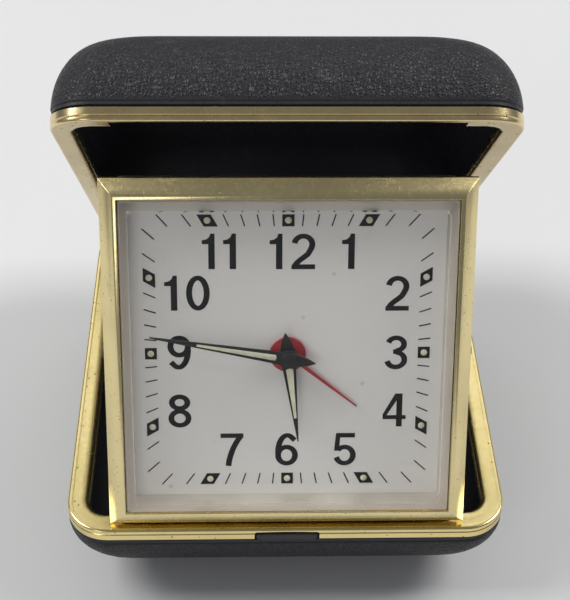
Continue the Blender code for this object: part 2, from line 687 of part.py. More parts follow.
def train_places():
    """Arbor places on the dial plane, each worked out from the gear it meets."""
    third = polar(meshing(CENTRE_WHEEL, THIRD_PINION), THIRD_DIRECTION)
    fourth = polar(meshing(THIRD_WHEEL, FOURTH_PINION), FOURTH_DIRECTION, third)
    escape = polar(meshing(FOURTH_WHEEL, ESCAPE_PINION), ESCAPE_DIRECTION, fourth)
    pallet = polar(PALLET_DISTANCE, PALLET_DIRECTION, escape)
    return {
        "third": third, "fourth": fourth, "escape": escape, "pallet": pallet,
        "balance": polar(BALANCE_DISTANCE, BALANCE_DIRECTION, pallet),
        "barrel": polar(meshing(BARREL, CENTRE_PINION), BARREL_DIRECTION),
        "alarm_set": polar(meshing(ALARM_WHEEL, ALARM_SET_PINION), ALARM_SET_DIRECTION),
        "minute": polar(meshing(CANNON_PINION, MINUTE_WHEEL), MINUTE_WHEEL_DIRECTION),
    }


def sheet(level, thick=WHEEL_SHEET):
    return level, level + thick


def hole(radius, x=0.0, z=0.0):
    """Cutter through any plate or cover."""
    return moved(shaft(((radius, 0.0), (radius, 2 * HOUSING_BACK)), 12), x=x, z=z)


def plates(empty, places):
    arbor = BARREL_ARBOR_RADIUS + FIT_GAP
    back_holes = [hole(ARBOR_RADIUS + FIT_GAP), hole(arbor, *places["barrel"]),
                  hole(arbor, *ALARM_BARREL_PLACE), hole(arbor, *places["alarm_set"])]
    front_holes = [hole(ARBOR_RADIUS + FIT_GAP), hole(arbor, *places["alarm_set"])]
    for name, level, holes in (("front_plate", FRONT_PLATE_LEVEL, front_holes),
                               ("back_plate", BACK_PLATE_LEVEL, back_holes)):
        shape = box((-PLATE_HALF, PLATE_HALF), sheet(level, PLATE_SHEET), (-PLATE_HALF, PLATE_HALF))
        place(name, cut(shape, *holes), BRASS, empty, on_dial())
    low = FRONT_PLATE_LEVEL + PLATE_SHEET + FIT_GAP
    high = BACK_PLATE_LEVEL - FIT_GAP
    corners = ((-1, -1), (1, -1), (-1, 1), (1, 1))
    for number, (sx, sz) in enumerate(corners, 1):
        post = shaft(((PILLAR_RADIUS, low), (PILLAR_RADIUS, high)), 10)
        place(f"pillar_{number}", post, STEEL, empty, on_dial(sx * PILLAR_PLACE, sz * PILLAR_PLACE))


def wheel_and_pinion(wheel, wheel_level, pinion, pinion_level, reach):
    """Gear, its pinion and the arbor between the plates as one piece."""
    arbor = shaft(((TRAIN_ARBOR_RADIUS, reach[0]), (TRAIN_ARBOR_RADIUS, reach[1])), 8)
    return join(gear(*wheel, sheet(wheel_level)), gear(*pinion, sheet(pinion_level, WHEEL_SHEET)), arbor)


def going_train(empty, places):
    low = FRONT_PLATE_LEVEL + PLATE_SHEET + FIT_GAP / 2
    high = BACK_PLATE_LEVEL - FIT_GAP / 2
    reach = (low, high)
    rows = (("third_wheel", "third", THIRD_WHEEL, THIRD_LEVEL, THIRD_PINION, CENTRE_LEVEL),
            ("fourth_wheel", "fourth", FOURTH_WHEEL, FOURTH_LEVEL, FOURTH_PINION, THIRD_LEVEL),
            ("escape_wheel", "escape", ESCAPE_WHEEL, CENTRE_LEVEL, ESCAPE_PINION, FOURTH_LEVEL))
    for name, key, wheel, level, pinion, pinion_level in rows:
        shape = wheel_and_pinion(wheel, level, pinion, pinion_level, reach)
        place(name, shape, BRASS, empty, on_dial(*places[key]), smooth=False)

    arm = PALLET_DISTANCE - ESCAPE_WHEEL[0] - 2 * FIT_GAP
    middle, tip = PALLET_HEAD
    tail, tail_half = PALLET_TAIL
    half = [(arm, tip), (tail_half, middle), (-tail, tail_half)]
    lever = join(plate(half + [(x, -z) for x, z in half[::-1]], sheet(CENTRE_LEVEL)),
                 shaft(((TRAIN_ARBOR_RADIUS, low), (TRAIN_ARBOR_RADIUS, high)), 8))
    place("pallet_lever", lever, STEEL, empty, on_dial(*places["pallet"]), smooth=False)

    near, far = BALANCE_WINDOW
    windows = [box((sx * near, sx * far), (0.0, HOUSING_BACK), (sz * near, sz * far))
               for sx in (-1, 1) for sz in (-1, 1)]
    disc = shaft(((BALANCE_RADIUS, THIRD_LEVEL), (BALANCE_RADIUS, THIRD_LEVEL + WHEEL_SHEET)), 24)
    balance = cut(disc, *windows)
    balance = join(balance, shaft(((TRAIN_ARBOR_RADIUS, low), (TRAIN_ARBOR_RADIUS, high)), 8))
    place("balance_wheel", balance, BRASS, empty, on_dial(*places["balance"]))
    place("hairspring", hairspring(), STEEL, empty, on_dial(*places["balance"]))


def hairspring():
    """Flat spiral strip between the balance's rim and the back plate."""
    steps = 12
    thick, high = HAIRSPRING_STRIP
    strip = ((0.0, 0.0), (thick, 0.0), (thick, high), (0.0, high))
    loops = []
    for i in range(steps * HAIRSPRING_TURNS + 1):
        turn = math.tau * i / steps
        radius = HAIRSPRING_START + HAIRSPRING_PITCH * i / steps
        loops.append([((radius + out) * math.cos(turn), FOURTH_LEVEL + up, (radius + out) * math.sin(turn))
                      for out, up in strip])
    return loft(loops)


def barrels(empty, places):
    bore = BARREL_ARBOR_RADIUS + RUN_GAP
    shape = join(gear(*BARREL, sheet(FOURTH_LEVEL)),
                 shaft(((BARREL[0] * 0.93, THIRD_LEVEL), (BARREL[0] * 0.93, THIRD_LEVEL + BARREL_HEIGHT)), 32))
    place("going_barrel", cut(shape, hole(bore)), BRASS, empty, on_dial(*places["barrel"]), smooth=False)
    shape = shaft(((ALARM_BARREL_RADIUS, THIRD_LEVEL), (ALARM_BARREL_RADIUS, THIRD_LEVEL + BARREL_HEIGHT)), 32)
    place("alarm_barrel", cut(shape, hole(bore)), BRASS, empty, on_dial(*ALARM_BARREL_PLACE))


def motion_work(empty, places):
    """Centre arbor, hour and alarm pipes and their wheels."""
    front = hand_levels(MINUTE_HAND_LIFT)[1] + FIT_GAP
    arbor = shaft(((ARBOR_RADIUS, front), (ARBOR_RADIUS, HOUSING_BACK)), 12)
    shape = join(arbor, gear(*CENTRE_WHEEL, sheet(CENTRE_LEVEL)), gear(*CENTRE_PINION, sheet(FOURTH_LEVEL)),
                 gear(*CANNON_PINION, sheet(CANNON_LEVEL)))
    place("center_wheel", shape, BRASS, empty, on_dial(), MINUTE_ANGLE, smooth=False)

    shape = join(gear(*MINUTE_WHEEL, sheet(CANNON_LEVEL)), gear(*MINUTE_PINION, sheet(HOUR_LEVEL)),
                 shaft(((TRAIN_ARBOR_RADIUS, HOUR_LEVEL), (TRAIN_ARBOR_RADIUS, CANNON_LEVEL)), 8))
    place("minute_wheel", shape, BRASS, empty, on_dial(*places["minute"]), smooth=False)

    for name, order, wheel, level, lift, angle in (
            ("hour_wheel", 1, HOUR_WHEEL, HOUR_LEVEL, HOUR_HAND_LIFT, HOUR_ANGLE),
            ("alarm_wheel", 2, ALARM_WHEEL, ALARM_LEVEL, ALARM_HAND_LIFT, ALARM_ANGLE)):
        inner, outer = pipe_radii(order)
        start = hand_levels(lift)[1] + FIT_GAP / 2
        shape = join(gear(*wheel, sheet(level)), shaft(((outer, start), (outer, level + WHEEL_SHEET / 2)), 16))
        shape = cut(shape, shaft(((inner, -HOUSING_BACK), (inner, HOUSING_BACK)), 16))
        place(name, shape, BRASS, empty, on_dial(), angle, smooth=False)


def alarm_hammer(empty):
    low = FRONT_PLATE_LEVEL + PLATE_SHEET + FIT_GAP
    post = shaft(((PILLAR_RADIUS / 2, low), (PILLAR_RADIUS / 2, BACK_PLATE_LEVEL - FIT_GAP)), 10)
    half, head = HAMMER_WIDTH
    arm = plate([(-half, 0.0), (half, 0.0), (head, HAMMER_ARM), (-half, HAMMER_ARM)],
                sheet(THIRD_LEVEL, 2 * WHEEL_SHEET))
    place("alarm_hammer", join(post, arm), STEEL, empty, on_dial(*HAMMER_PLACE), smooth=False)
    post = shaft(((PILLAR_RADIUS, low), (PILLAR_RADIUS, BACK_PLATE_LEVEL - FIT_GAP)), 10)
    spot = [start + step for start, step in zip(HAMMER_PLACE, SOUNDING_POST_STEP)]
    place("sounding_post", post, STEEL, empty, on_dial(*spot))


# ---------------------------------------------------------------- back of the clock

def back_cover(empty, places):
    room_x, room_z = inner_half()
    half_x, half_z = room_x - FIT_GAP, room_z - FIT_GAP
    level = HOUSING_BACK - COVER_THICK
    arbor = BARREL_ARBOR_RADIUS + FIT_GAP
    shape = box((-half_x, half_x), sheet(level, COVER_THICK), (-half_z, half_z))
    holes = [hole(arbor, *spot) for spot in
             ((0.0, 0.0), places["barrel"], ALARM_BARREL_PLACE, places["alarm_set"])]
    place("back_cover", cut(shape, *holes), BLACK_PLASTIC, empty, on_dial())
    corners = ((-1, -1), (1, -1), (-1, 1), (1, 1))
    for number, (sx, sz) in enumerate(corners, 1):
        head = shaft(((SCREW_RADIUS, BACK_FACE), (SCREW_RADIUS * 0.8, BACK_FACE + SCREW_HEAD)), 10)
        place(f"back_screw_{number}", head, STEEL, empty, on_dial(sx * SCREW_PLACE, sz * SCREW_PLACE))


def winding_key(name, empty, spot, turn):
    """Barrel arbor with a folded-wing key outside the cover."""
    start = THIRD_LEVEL - FIT_GAP
    collar = 1.9 * BARREL_ARBOR_RADIUS
    arbor = shaft(((BARREL_ARBOR_RADIUS, start), (BARREL_ARBOR_RADIUS, BACK_FACE + MM)), 10)
    boss = shaft(((collar, BACK_FACE), (collar, BACK_FACE + KEY_HEIGHT * 0.6)), 12)
    rise = BACK_FACE + KEY_HEIGHT * 0.25
    wing = box((-KEY_HALF, KEY_HALF), (rise, BACK_FACE + KEY_HEIGHT), (-KEY_SHEET / 2, KEY_SHEET / 2))
    place(name, join(arbor, boss, wing), BRASS, empty, on_dial(*spot), turn, smooth=False)


def keys_and_knobs(empty, places):
    winding_key("time_key", empty, places["barrel"], 30.0)
    winding_key("alarm_key", empty, ALARM_BARREL_PLACE, -35.0)
    knob = gear(SET_KNOB_RADIUS, 14, (BACK_FACE, BACK_FACE + KNOB_HEIGHT))
    place("hand_set_knob", knob, BRASS, empty, on_dial(), smooth=False)
    stem = shaft(((BARREL_ARBOR_RADIUS, ALARM_LEVEL), (BARREL_ARBOR_RADIUS, BACK_FACE + MM)), 10)
    shape = join(stem, gear(*ALARM_SET_PINION, sheet(ALARM_LEVEL)),
                 gear(ALARM_KNOB_RADIUS, 12, (BACK_FACE, BACK_FACE + KNOB_HEIGHT)))
    place("alarm_set_knob", shape, BRASS, empty, on_dial(*places["alarm_set"]), smooth=False)
    root, tip = REGULATOR_WIDTH
    arm = plate([(-root, 0.0), (root, 0.0), (tip, REGULATOR_ARM), (-tip, REGULATOR_ARM)],
                (BACK_FACE, BACK_FACE + REGULATOR_SHEET))
    shape = join(shaft(((REGULATOR_HUB, BACK_FACE), (REGULATOR_HUB, BACK_FACE + 1.3 * REGULATOR_SHEET)), 12),
                 arm)
    place("regulator_lever", shape, STEEL, empty, on_dial(*places["balance"]), smooth=False)
    half_x, half_z = SHUTOFF_SIZE[0] / 2, SHUTOFF_SIZE[1] / 2
    shape = box((-half_x, half_x), (BACK_FACE, BACK_FACE + SHUTOFF_HEIGHT), (-half_z, half_z))
    edges = [edge for edge in shape.edges if all(vert.co.y > BACK_FACE for vert in edge.verts)]
    bmesh.ops.bevel(shape, geom=edges, offset=SHUTOFF_EDGE, segments=1, affect="EDGES")
    place("alarm_shutoff", shape, BLACK_PLASTIC, empty, on_dial(*SHUTOFF_PLACE), smooth=False)


# ---------------------------------------------------------------- assembly

def clock_axis():
    """Fold axis of the clock in the row frame."""
    lean = math.radians(LEAN)
    back, down = PIVOT_BACK, PIVOT_BELOW
    y = FRONT_Y + CLOCK_EDGE_Y + back * math.cos(lean) - down * math.sin(lean)
    z = LIP_Z + CLOCK_EDGE_Z - back * math.sin(lean) - down * math.cos(lean)
    return 0.0, y, z


def main():
    for obj in list(bpy.data.objects):
        bpy.data.objects.remove(obj, do_unlink=True)
    lid_empty = axis_empty("lid_axis", (0.0, HINGE_Y, LIP_Z), -LID_OPEN)
    clock_empty = axis_empty("clock_axis", clock_axis(), -LEAN)
    places = train_places()
    case_bottom()
    lid(lid_empty)
    case_hinge(lid_empty)
    latch()
    fold_hinge()
    bezel_and_crystal(clock_empty)
    dial(clock_empty)
    housing(clock_empty)
    hands(clock_empty)
    plates(clock_empty, places)
    going_train(clock_empty, places)
    barrels(clock_empty, places)
    motion_work(clock_empty, places)
    alarm_hammer(clock_empty)
    back_cover(clock_empty, places)
    keys_and_knobs(clock_empty, places)


main()
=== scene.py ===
"""Looks of the folding travel alarm clock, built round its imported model.

Lengths are in metres.  Three frames are used: the row frame, the lid's frame (origin on
the case hinge, turned as the lid stands) and the clock's frame (origin on the dial's
centre line at the bezel's front edge, X across, Y into the clock, Z towards 12).
"""
import json
import math

import bmesh
import bpy
from mathutils import Euler, Matrix, Vector


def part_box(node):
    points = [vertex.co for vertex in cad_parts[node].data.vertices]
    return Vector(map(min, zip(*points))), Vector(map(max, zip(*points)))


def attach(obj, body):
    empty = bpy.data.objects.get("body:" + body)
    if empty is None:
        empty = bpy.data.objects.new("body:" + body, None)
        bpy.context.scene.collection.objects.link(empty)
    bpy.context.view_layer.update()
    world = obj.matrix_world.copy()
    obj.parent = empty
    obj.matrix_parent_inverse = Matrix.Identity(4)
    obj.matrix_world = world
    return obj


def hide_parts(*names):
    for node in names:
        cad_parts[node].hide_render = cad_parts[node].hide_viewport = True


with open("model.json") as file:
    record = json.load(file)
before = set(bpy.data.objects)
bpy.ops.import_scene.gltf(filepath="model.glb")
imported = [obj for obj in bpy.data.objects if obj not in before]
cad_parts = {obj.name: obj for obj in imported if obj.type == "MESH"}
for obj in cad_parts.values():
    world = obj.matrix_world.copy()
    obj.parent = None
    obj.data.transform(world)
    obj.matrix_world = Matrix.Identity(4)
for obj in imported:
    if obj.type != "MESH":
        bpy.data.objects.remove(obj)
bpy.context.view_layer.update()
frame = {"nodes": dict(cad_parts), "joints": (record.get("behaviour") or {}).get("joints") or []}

MM = 0.001
QUARTER = math.pi / 2

# Sizes shared with the solid model
SHELL_WALL = 1.2 * MM
CORNER_RADIUS = 7.0 * MM
LOWER_FORM = (20.0 * MM, 0.4, 0.0)    # side's reach, corner softening, arch of the crown
LID_FORM = (8.0 * MM, 0.3, 0.26)
STRAIGHT_WALL = 3.0 * MM
SEAT = 0.8 * MM
SHOULDER = 2.6 * MM
RIM_SHEET = 0.5 * MM
RIM_HEIGHT = 2.3 * MM
LIP_WIDTH = 3.8 * MM
LIP_ROLL = 0.9 * MM
LOWER_LIP_STUB = 2.0 * MM
LID_LIP_STUB = 1.1 * MM
LOWER_LIP_OPENING = 58.4 * MM
LID_LIP_OPENING = 54.0 * MM
FRONT_RELIEF = 55.0 * MM
FRONT_SKIN = 0.7 * MM
FRONT_RELIEF_DROP = 4.4 * MM
CATCH_SLOT = 3.3 * MM
BEZEL_BAR = 2.9 * MM
BEZEL_RISE = 2.6 * MM
BEZEL_EDGE = 0.8 * MM
CRYSTAL_GAP = 0.3 * MM
CRYSTAL_BORDER = 1.35 * MM
CRYSTAL_RISE = 0.5 * MM
CRYSTAL_THICK = 1.2 * MM
CRYSTAL_FRONT = -BEZEL_RISE - CRYSTAL_RISE
DIAL_DEPTH = 2.1 * MM
DIAL_THICK = 0.4 * MM
HOUSING_WALL = 1.3 * MM
HOUSING_FRONT = 1.1 * MM
HOUSING_BACK = 10.4 * MM
BACK_FACE = 10.7 * MM
RECESS = (16.5 * MM, 4.5 * MM, 0.7 * MM)   # width, length, depth
PIVOT_BACK = 2.3 * MM
PIVOT_BELOW = 2.4 * MM
EAR_RADIUS = 1.3 * MM
EAR_X = 20.0 * MM
EAR_WIDTH = 2.0 * MM
EAR_BORE = 0.83 * MM
PIN_DEPTH = 3.0 * MM
SCREW_REACH = 22.5 * MM
KEY_LIFT = 0.8 * MM
KEY_WING = (6.0 * MM, 1.5 * MM)    # half length, end radius
KNOB_HEIGHT = 2.2 * MM
SET_ARBOR_FRONT = 2.85 * MM

# Printing on the dial
BAND = (20.75 * MM, 22.65 * MM)    # half sizes of the square band of marks
TICK_WIDTH = 0.2 * MM
PRINT_THICK = 0.03 * MM
MARK_WIDTH = 1.9 * MM
LUME_RADIUS = 0.52 * MM
NUMERAL_HEIGHT = 5.7 * MM
UPRIGHT_STROKE = 0.165             # stroke widths as shares of the numeral's height
LEVEL_STROKE = 0.135
NUMERAL_PLACES = {12: (0.35, 16.7), 1: (9.6, 16.7), 2: (17.2, 9.85), 3: (17.3, 0.0), 4: (17.25, -9.85),
                  5: (9.4, -16.65), 6: (-0.1, -16.6), 7: (-8.95, -16.6), 8: (-17.3, -9.8),
                  9: (-17.2, 0.15), 10: (-16.1, 10.0), 11: (-10.5, 16.75)}

# Hands: length, root width, tail, hub radius, gap under the hand
MINUTE = (22.0 * MM, 2.1 * MM, 4.4 * MM, 1.55 * MM, 2.9 * MM)
HOUR = (14.5 * MM, 2.2 * MM, 4.0 * MM, 1.5 * MM, 1.7 * MM)
ALARM = (14.2 * MM, 0.75 * MM, 0.0, 2.9 * MM, 0.5 * MM)
HAND_SHEET = 0.3 * MM
MINUTE_ANGLE, HOUR_ANGLE, ALARM_ANGLE = 279.7, 173.3, 128.7
ARBOR_BORES = {"hour_hand": 0.58 * MM, "alarm_hand": 1.04 * MM}


# ---------------------------------------------------------------- places

joints = {joint["name"]: joint for joint in frame["joints"]}
lid_axis = Vector(joints["lid_hinge"]["pos_m"])
lid_open = math.radians(joints["lid_hinge"]["range_deg"][1])
LID = Matrix.Translation(lid_axis) @ Matrix.Rotation(-lid_open, 4, "X")
dial_axis = Vector(joints["minute_spin"]["pos_m"])
inward = Vector(joints["minute_spin"]["axis"]).normalized()
clock_tilt = math.atan2(inward.z, inward.y)
CLOCK = Matrix.Translation(dial_axis) @ Matrix.Rotation(clock_tilt, 4, "X")


def clock_box(node):
    """Corners of a model node's box in the clock's frame."""
    back = CLOCK.inverted()
    points = [back @ vert.co for vert in frame["nodes"][node].data.vertices]
    return (Vector([min(p[i] for p in points) for i in range(3)]),
            Vector([max(p[i] for p in points) for i in range(3)]))


def clock_place(joint):
    """(x, z) of a joint's axis in the clock's frame."""
    point = CLOCK.inverted() @ Vector(joints[joint]["pos_m"])
    return point.x, point.z


rim_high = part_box("lower_rim")[1]
CASE_HALF_X = rim_high.x
CASE_HALF_Y = rim_high.y
LIP_Z = rim_high.z
LOWER_DEPTH = LIP_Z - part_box("lower_shell")[0].z
LID_DROP = -lid_axis.y
lid_reach = [LID.inverted() @ vert.co for vert in frame["nodes"]["lid_shell"].data.vertices]
LID_DEPTH = max(point.z for point in lid_reach)
bezel_high = clock_box("bezel")[1]
BEZEL_HALF_X, BEZEL_HALF_Z = bezel_high.x, bezel_high.z
housing_high = clock_box("clock_housing")[1]
HOUSING_HALF_X, HOUSING_HALF_Z = housing_high.x, housing_high.z
dial_high = clock_box("dial")[1]
LOWER = Matrix.Translation((0.0, 0.0, LIP_Z))


# ---------------------------------------------------------------- node trees

def wire(tree, kind, inputs=None, **settings):
    """Add a node; inputs may be values or sockets to link from."""
    made = tree.nodes.new(kind)
    for key, value in settings.items():
        setattr(made, key, value)
    for key, value in (inputs or {}).items():
        socket = made.inputs[key]
        if isinstance(value, bpy.types.NodeSocket):
            tree.links.new(value, socket)
        else:
            socket.default_value = value
    return made


def sums(tree, operation, *values):
    """Math node on two or three values or sockets."""
    return wire(tree, "ShaderNodeMath", dict(enumerate(values)), operation=operation).outputs[0]


def times(tree, first, second):
    return sums(tree, "MULTIPLY", first, second)


def scaled(tree, value, factor, start):
    """Value times factor, plus start."""
    return sums(tree, "MULTIPLY_ADD", value, factor, start)


def ramp(tree, value, low, high, start=0.0, end=1.0):
    """Smooth step of a value between two limits."""
    return wire(tree, "ShaderNodeMapRange", {0: value, 1: low, 2: high, 3: start, 4: end},
                interpolation_type="SMOOTHSTEP").outputs[0]


def blend_colour(tree, mask, first, second):
    made = wire(tree, "ShaderNodeMix", data_type="RGBA")
    for index, value in ((0, mask), (6, first), (7, second)):
        if isinstance(value, bpy.types.NodeSocket):
            tree.links.new(value, made.inputs[index])
        else:
            made.inputs[index].default_value = value if index == 0 else (*value, 1.0)
    return made.outputs[2]


def open_tree(name, kind, inputs):
    """Node tree whose inputs take their kinds from their starting values; None is a material."""
    tree = bpy.data.node_groups.new(name, kind)
    for label, value in inputs.items():
        form = {float: "Float", int: "Int", tuple: "Vector"}.get(type(value), "Material")
        socket = tree.interface.new_socket(label, in_out="INPUT", socket_type="NodeSocket" + form)
        if value is not None:
            socket.default_value = value
    return tree


def effect(name, outputs, **inputs):
    """Empty shader group with named sockets; returns (tree, input node, output node)."""
    tree = open_tree(name, "ShaderNodeTree", {"Vector": (0.0, 0.0, 0.0), **inputs})
    for label in outputs:
        tree.interface.new_socket(label, in_out="OUTPUT", socket_type="NodeSocketFloat")
    return tree, wire(tree, "NodeGroupInput").outputs, wire(tree, "NodeGroupOutput").inputs


def scuff_group():
    """Thin wandering scratches in two directions."""
    tree, given, out = effect("scuffs", ["Mask"], Scale=90.0, Amount=0.5)
    masks = []
    for stretch, turn in (((1.0, 0.10, 0.35), (0.4, 0.2, 0.5)), ((0.12, 1.0, 0.5), (0.1, 0.7, -0.9))):
        along = wire(tree, "ShaderNodeMapping", {"Vector": given["Vector"], "Rotation": turn,
                                                 "Scale": stretch}).outputs[0]
        noise = wire(tree, "ShaderNodeTexNoise", {"Vector": along, "Scale": given["Scale"], "Detail": 3.0,
                                                  "Distortion": 0.4}).outputs["Fac"]
        line = ramp(tree, sums(tree, "ABSOLUTE", sums(tree, "SUBTRACT", noise, 0.5)), 0.0, 0.012, 1.0, 0.0)
        patch = wire(tree, "ShaderNodeTexNoise", {"Vector": given["Vector"], "Scale": 260.0,
                                                  "Detail": 2.0}).outputs["Fac"]
        masks.append(times(tree, line, ramp(tree, patch, 0.5, 0.68)))
    both = sums(tree, "MAXIMUM", *masks)
    tree.links.new(times(tree, both, given["Amount"]), out["Mask"])
    return tree


def pit_group():
    """Scattered dark pits and specks."""
    tree, given, out = effect("pits", ["Mask"], Scale=900.0, Share=0.3)
    cells = wire(tree, "ShaderNodeTexVoronoi", {"Vector": given["Vector"], "Scale": given["Scale"]})
    dot = ramp(tree, cells.outputs["Distance"], 0.08, 0.22, 1.0, 0.0)
    lot = wire(tree, "ShaderNodeSeparateColor", {0: cells.outputs["Color"]}).outputs[0]
    chosen = sums(tree, "LESS_THAN", lot, given["Share"])
    tree.links.new(times(tree, dot, chosen), out["Mask"])
    return tree


def grain_group():
    """Pebbled leather grain: height of the pebbles and a mask of the creases."""
    tree, given, out = effect("pebble_grain", ["Height", "Creases"], Scale=1500.0)
    bend = wire(tree, "ShaderNodeTexNoise", {"Vector": given["Vector"], "Scale": 700.0, "Detail": 2.0})
    shift = wire(tree, "ShaderNodeVectorMath", {0: bend.outputs["Color"], "Scale": 0.0007}, operation="SCALE")
    moved = wire(tree, "ShaderNodeVectorMath", {0: given["Vector"], 1: shift.outputs[0]}, operation="ADD")
    cells = wire(tree, "ShaderNodeTexVoronoi", {"Vector": moved.outputs[0], "Scale": given["Scale"]},
                 feature="DISTANCE_TO_EDGE")
    pebble = ramp(tree, cells.outputs["Distance"], 0.0, 0.34)
    fine = wire(tree, "ShaderNodeTexNoise", {"Vector": given["Vector"], "Scale": 5200.0, "Detail": 2.0})
    height = scaled(tree, fine.outputs["Fac"], 0.35, pebble)
    tree.links.new(height, out["Height"])
    tree.links.new(ramp(tree, pebble, 0.0, 0.5, 1.0, 0.0), out["Creases"])
    return tree


def mottle_group():
    """Soft clouding at two scales."""
    tree, given, out = effect("mottle", ["Broad", "Fine"], Scale=120.0)
    for label, factor in (("Broad", 1.0), ("Fine", 14.0)):
        size = times(tree, given["Scale"], factor)
        noise = wire(tree, "ShaderNodeTexNoise", {"Vector": given["Vector"], "Scale": size, "Detail": 4.0})
        tree.links.new(noise.outputs["Fac"], out[label])
    return tree


SCUFFS, PITS, GRAIN, MOTTLE = scuff_group(), pit_group(), grain_group(), mottle_group()


class Finish:
    """A material under construction: its tree, shader and object coordinates."""

    def __init__(self, name, colour, roughness, metallic=0.0, **sockets):
        self.material = bpy.data.materials.new(name)
        self.material.use_nodes = True
        self.tree = self.material.node_tree
        self.shader = self.tree.nodes["Principled BSDF"]
        self.shader.inputs["Base Color"].default_value = (*colour, 1.0)
        self.shader.inputs["Roughness"].default_value = roughness
        self.shader.inputs["Metallic"].default_value = metallic
        for key, value in sockets.items():
            self.shader.inputs[key.replace("_", " ")].default_value = value
        self.place = wire(self.tree, "ShaderNodeTexCoord").outputs["Object"]

    def use(self, group, **inputs):
        made = wire(self.tree, "ShaderNodeGroup", node_tree=group)
        self.tree.links.new(self.place, made.inputs["Vector"])
        for key, value in inputs.items():
            if isinstance(value, bpy.types.NodeSocket):
                self.tree.links.new(value, made.inputs[key])
            else:
                made.inputs[key].default_value = value
        return made.outputs

    def feed(self, socket, value):
        self.tree.links.new(value, self.shader.inputs[socket])

    def bump(self, height, distance, strength):
        self.feed("Normal", wire(self.tree, "ShaderNodeBump", {"Height": height, "Distance": distance,
                                                               "Strength": strength}).outputs[0])


def brass(name, colour, dark, roughness, specks, speck_scale=1100.0, scratches=0.5):
    """Lacquered brass: clouded, speckled and finely scratched."""
    made = Finish(name, colour, roughness, 1.0)
    cloud = made.use(MOTTLE, Scale=110.0)
    pits = made.use(PITS, Scale=speck_scale, Share=specks)["Mask"]
    scuffs = made.use(SCUFFS, Scale=170.0, Amount=scratches)["Mask"]
    tree = made.tree
    tone = blend_colour(tree, ramp(tree, cloud["Broad"], 0.35, 0.75, 0.0, 0.35), colour, dark)
    tone = blend_colour(tree, times(tree, pits, 0.75), tone, tuple(0.18 * c for c in dark))
    made.feed("Base Color", tone)
    rough = scaled(tree, cloud["Fine"], 0.14, roughness - 0.07)
    rough = scaled(tree, scuffs, 0.12, rough)
    made.feed("Roughness", scaled(tree, pits, 0.3, rough))
    height = scaled(tree, cloud["Fine"], 0.25, times(tree, pits, -1.0))
    made.bump(scaled(tree, scuffs, -0.6, height), 0.00002, 0.55)
    return made.material


def plain(name, colour, other, roughness, metallic=0.0, clouding=150.0, scratches=0.3, relief=0.00001,
          **sockets):
    """Painted, moulded or turned surface with clouding and light scuffs."""
    made = Finish(name, colour, roughness, metallic, **sockets)
    cloud = made.use(MOTTLE, Scale=clouding)
    scuffs = made.use(SCUFFS, Scale=200.0, Amount=scratches)["Mask"]
    tree = made.tree
    tone = blend_colour(tree, ramp(tree, cloud["Broad"], 0.35, 0.75), colour, other)
    made.feed("Base Color", blend_colour(tree, scuffs, tone, tuple(min(1.0, 1.6 * c + 0.03) for c in other)))
    rough = scaled(tree, cloud["Fine"], 0.2, roughness - 0.1)
    made.feed("Roughness", scaled(tree, scuffs, 0.1, rough))
    made.bump(scaled(tree, scuffs, -1.0, cloud["Fine"]), relief, 0.6)
    return made.material


def leatherette():
    """Pebbled black covering; the grain attribute is 0 on the smooth band and inside."""
    made = Finish("black_leatherette", (0.012, 0.013, 0.016), 0.5, Specular_IOR_Level=0.45)
    tree = made.tree
    grained = wire(tree, "ShaderNodeAttribute", attribute_name="grain").outputs["Fac"]
    grain = made.use(GRAIN, Scale=1650.0)
    cloud = made.use(MOTTLE, Scale=70.0)
    scuffs = made.use(SCUFFS, Scale=120.0, Amount=0.35)["Mask"]
    tone = blend_colour(tree, cloud["Broad"], (0.008, 0.009, 0.013), (0.015, 0.016, 0.022))
    # Painted shade: the creases between the pebbles are painted darker.
    tone = blend_colour(tree, times(tree, grain["Creases"], grained), tone, (0.005, 0.005, 0.007))
    # Painted light: where there is no grain, on the smooth band and the inside of the shells, the colour is
    # painted lighter to stand in for light in their shade.
    tone = blend_colour(tree, grained, (0.022, 0.023, 0.032), tone)
    made.feed("Base Color", blend_colour(tree, scuffs, tone, (0.06, 0.06, 0.06)))
    rough = scaled(tree, cloud["Fine"], 0.22, 0.30)
    made.feed("Roughness", scaled(tree, grain["Creases"], 0.2, rough))
    height = times(tree, grain["Height"], grained)
    made.bump(scaled(tree, cloud["Fine"], 0.05, height), 0.00012, 0.75)
    return made.material


def clock_spot(made):
    """X, Y and Z in the clock's frame."""
    level = wire(made.tree, "ShaderNodeMapping", {"Vector": made.place, "Location": tuple(dial_axis),
                                                  "Rotation": (clock_tilt, 0.0, 0.0)}, vector_type="TEXTURE")
    return wire(made.tree, "ShaderNodeSeparateXYZ", {0: level.outputs[0]}).outputs


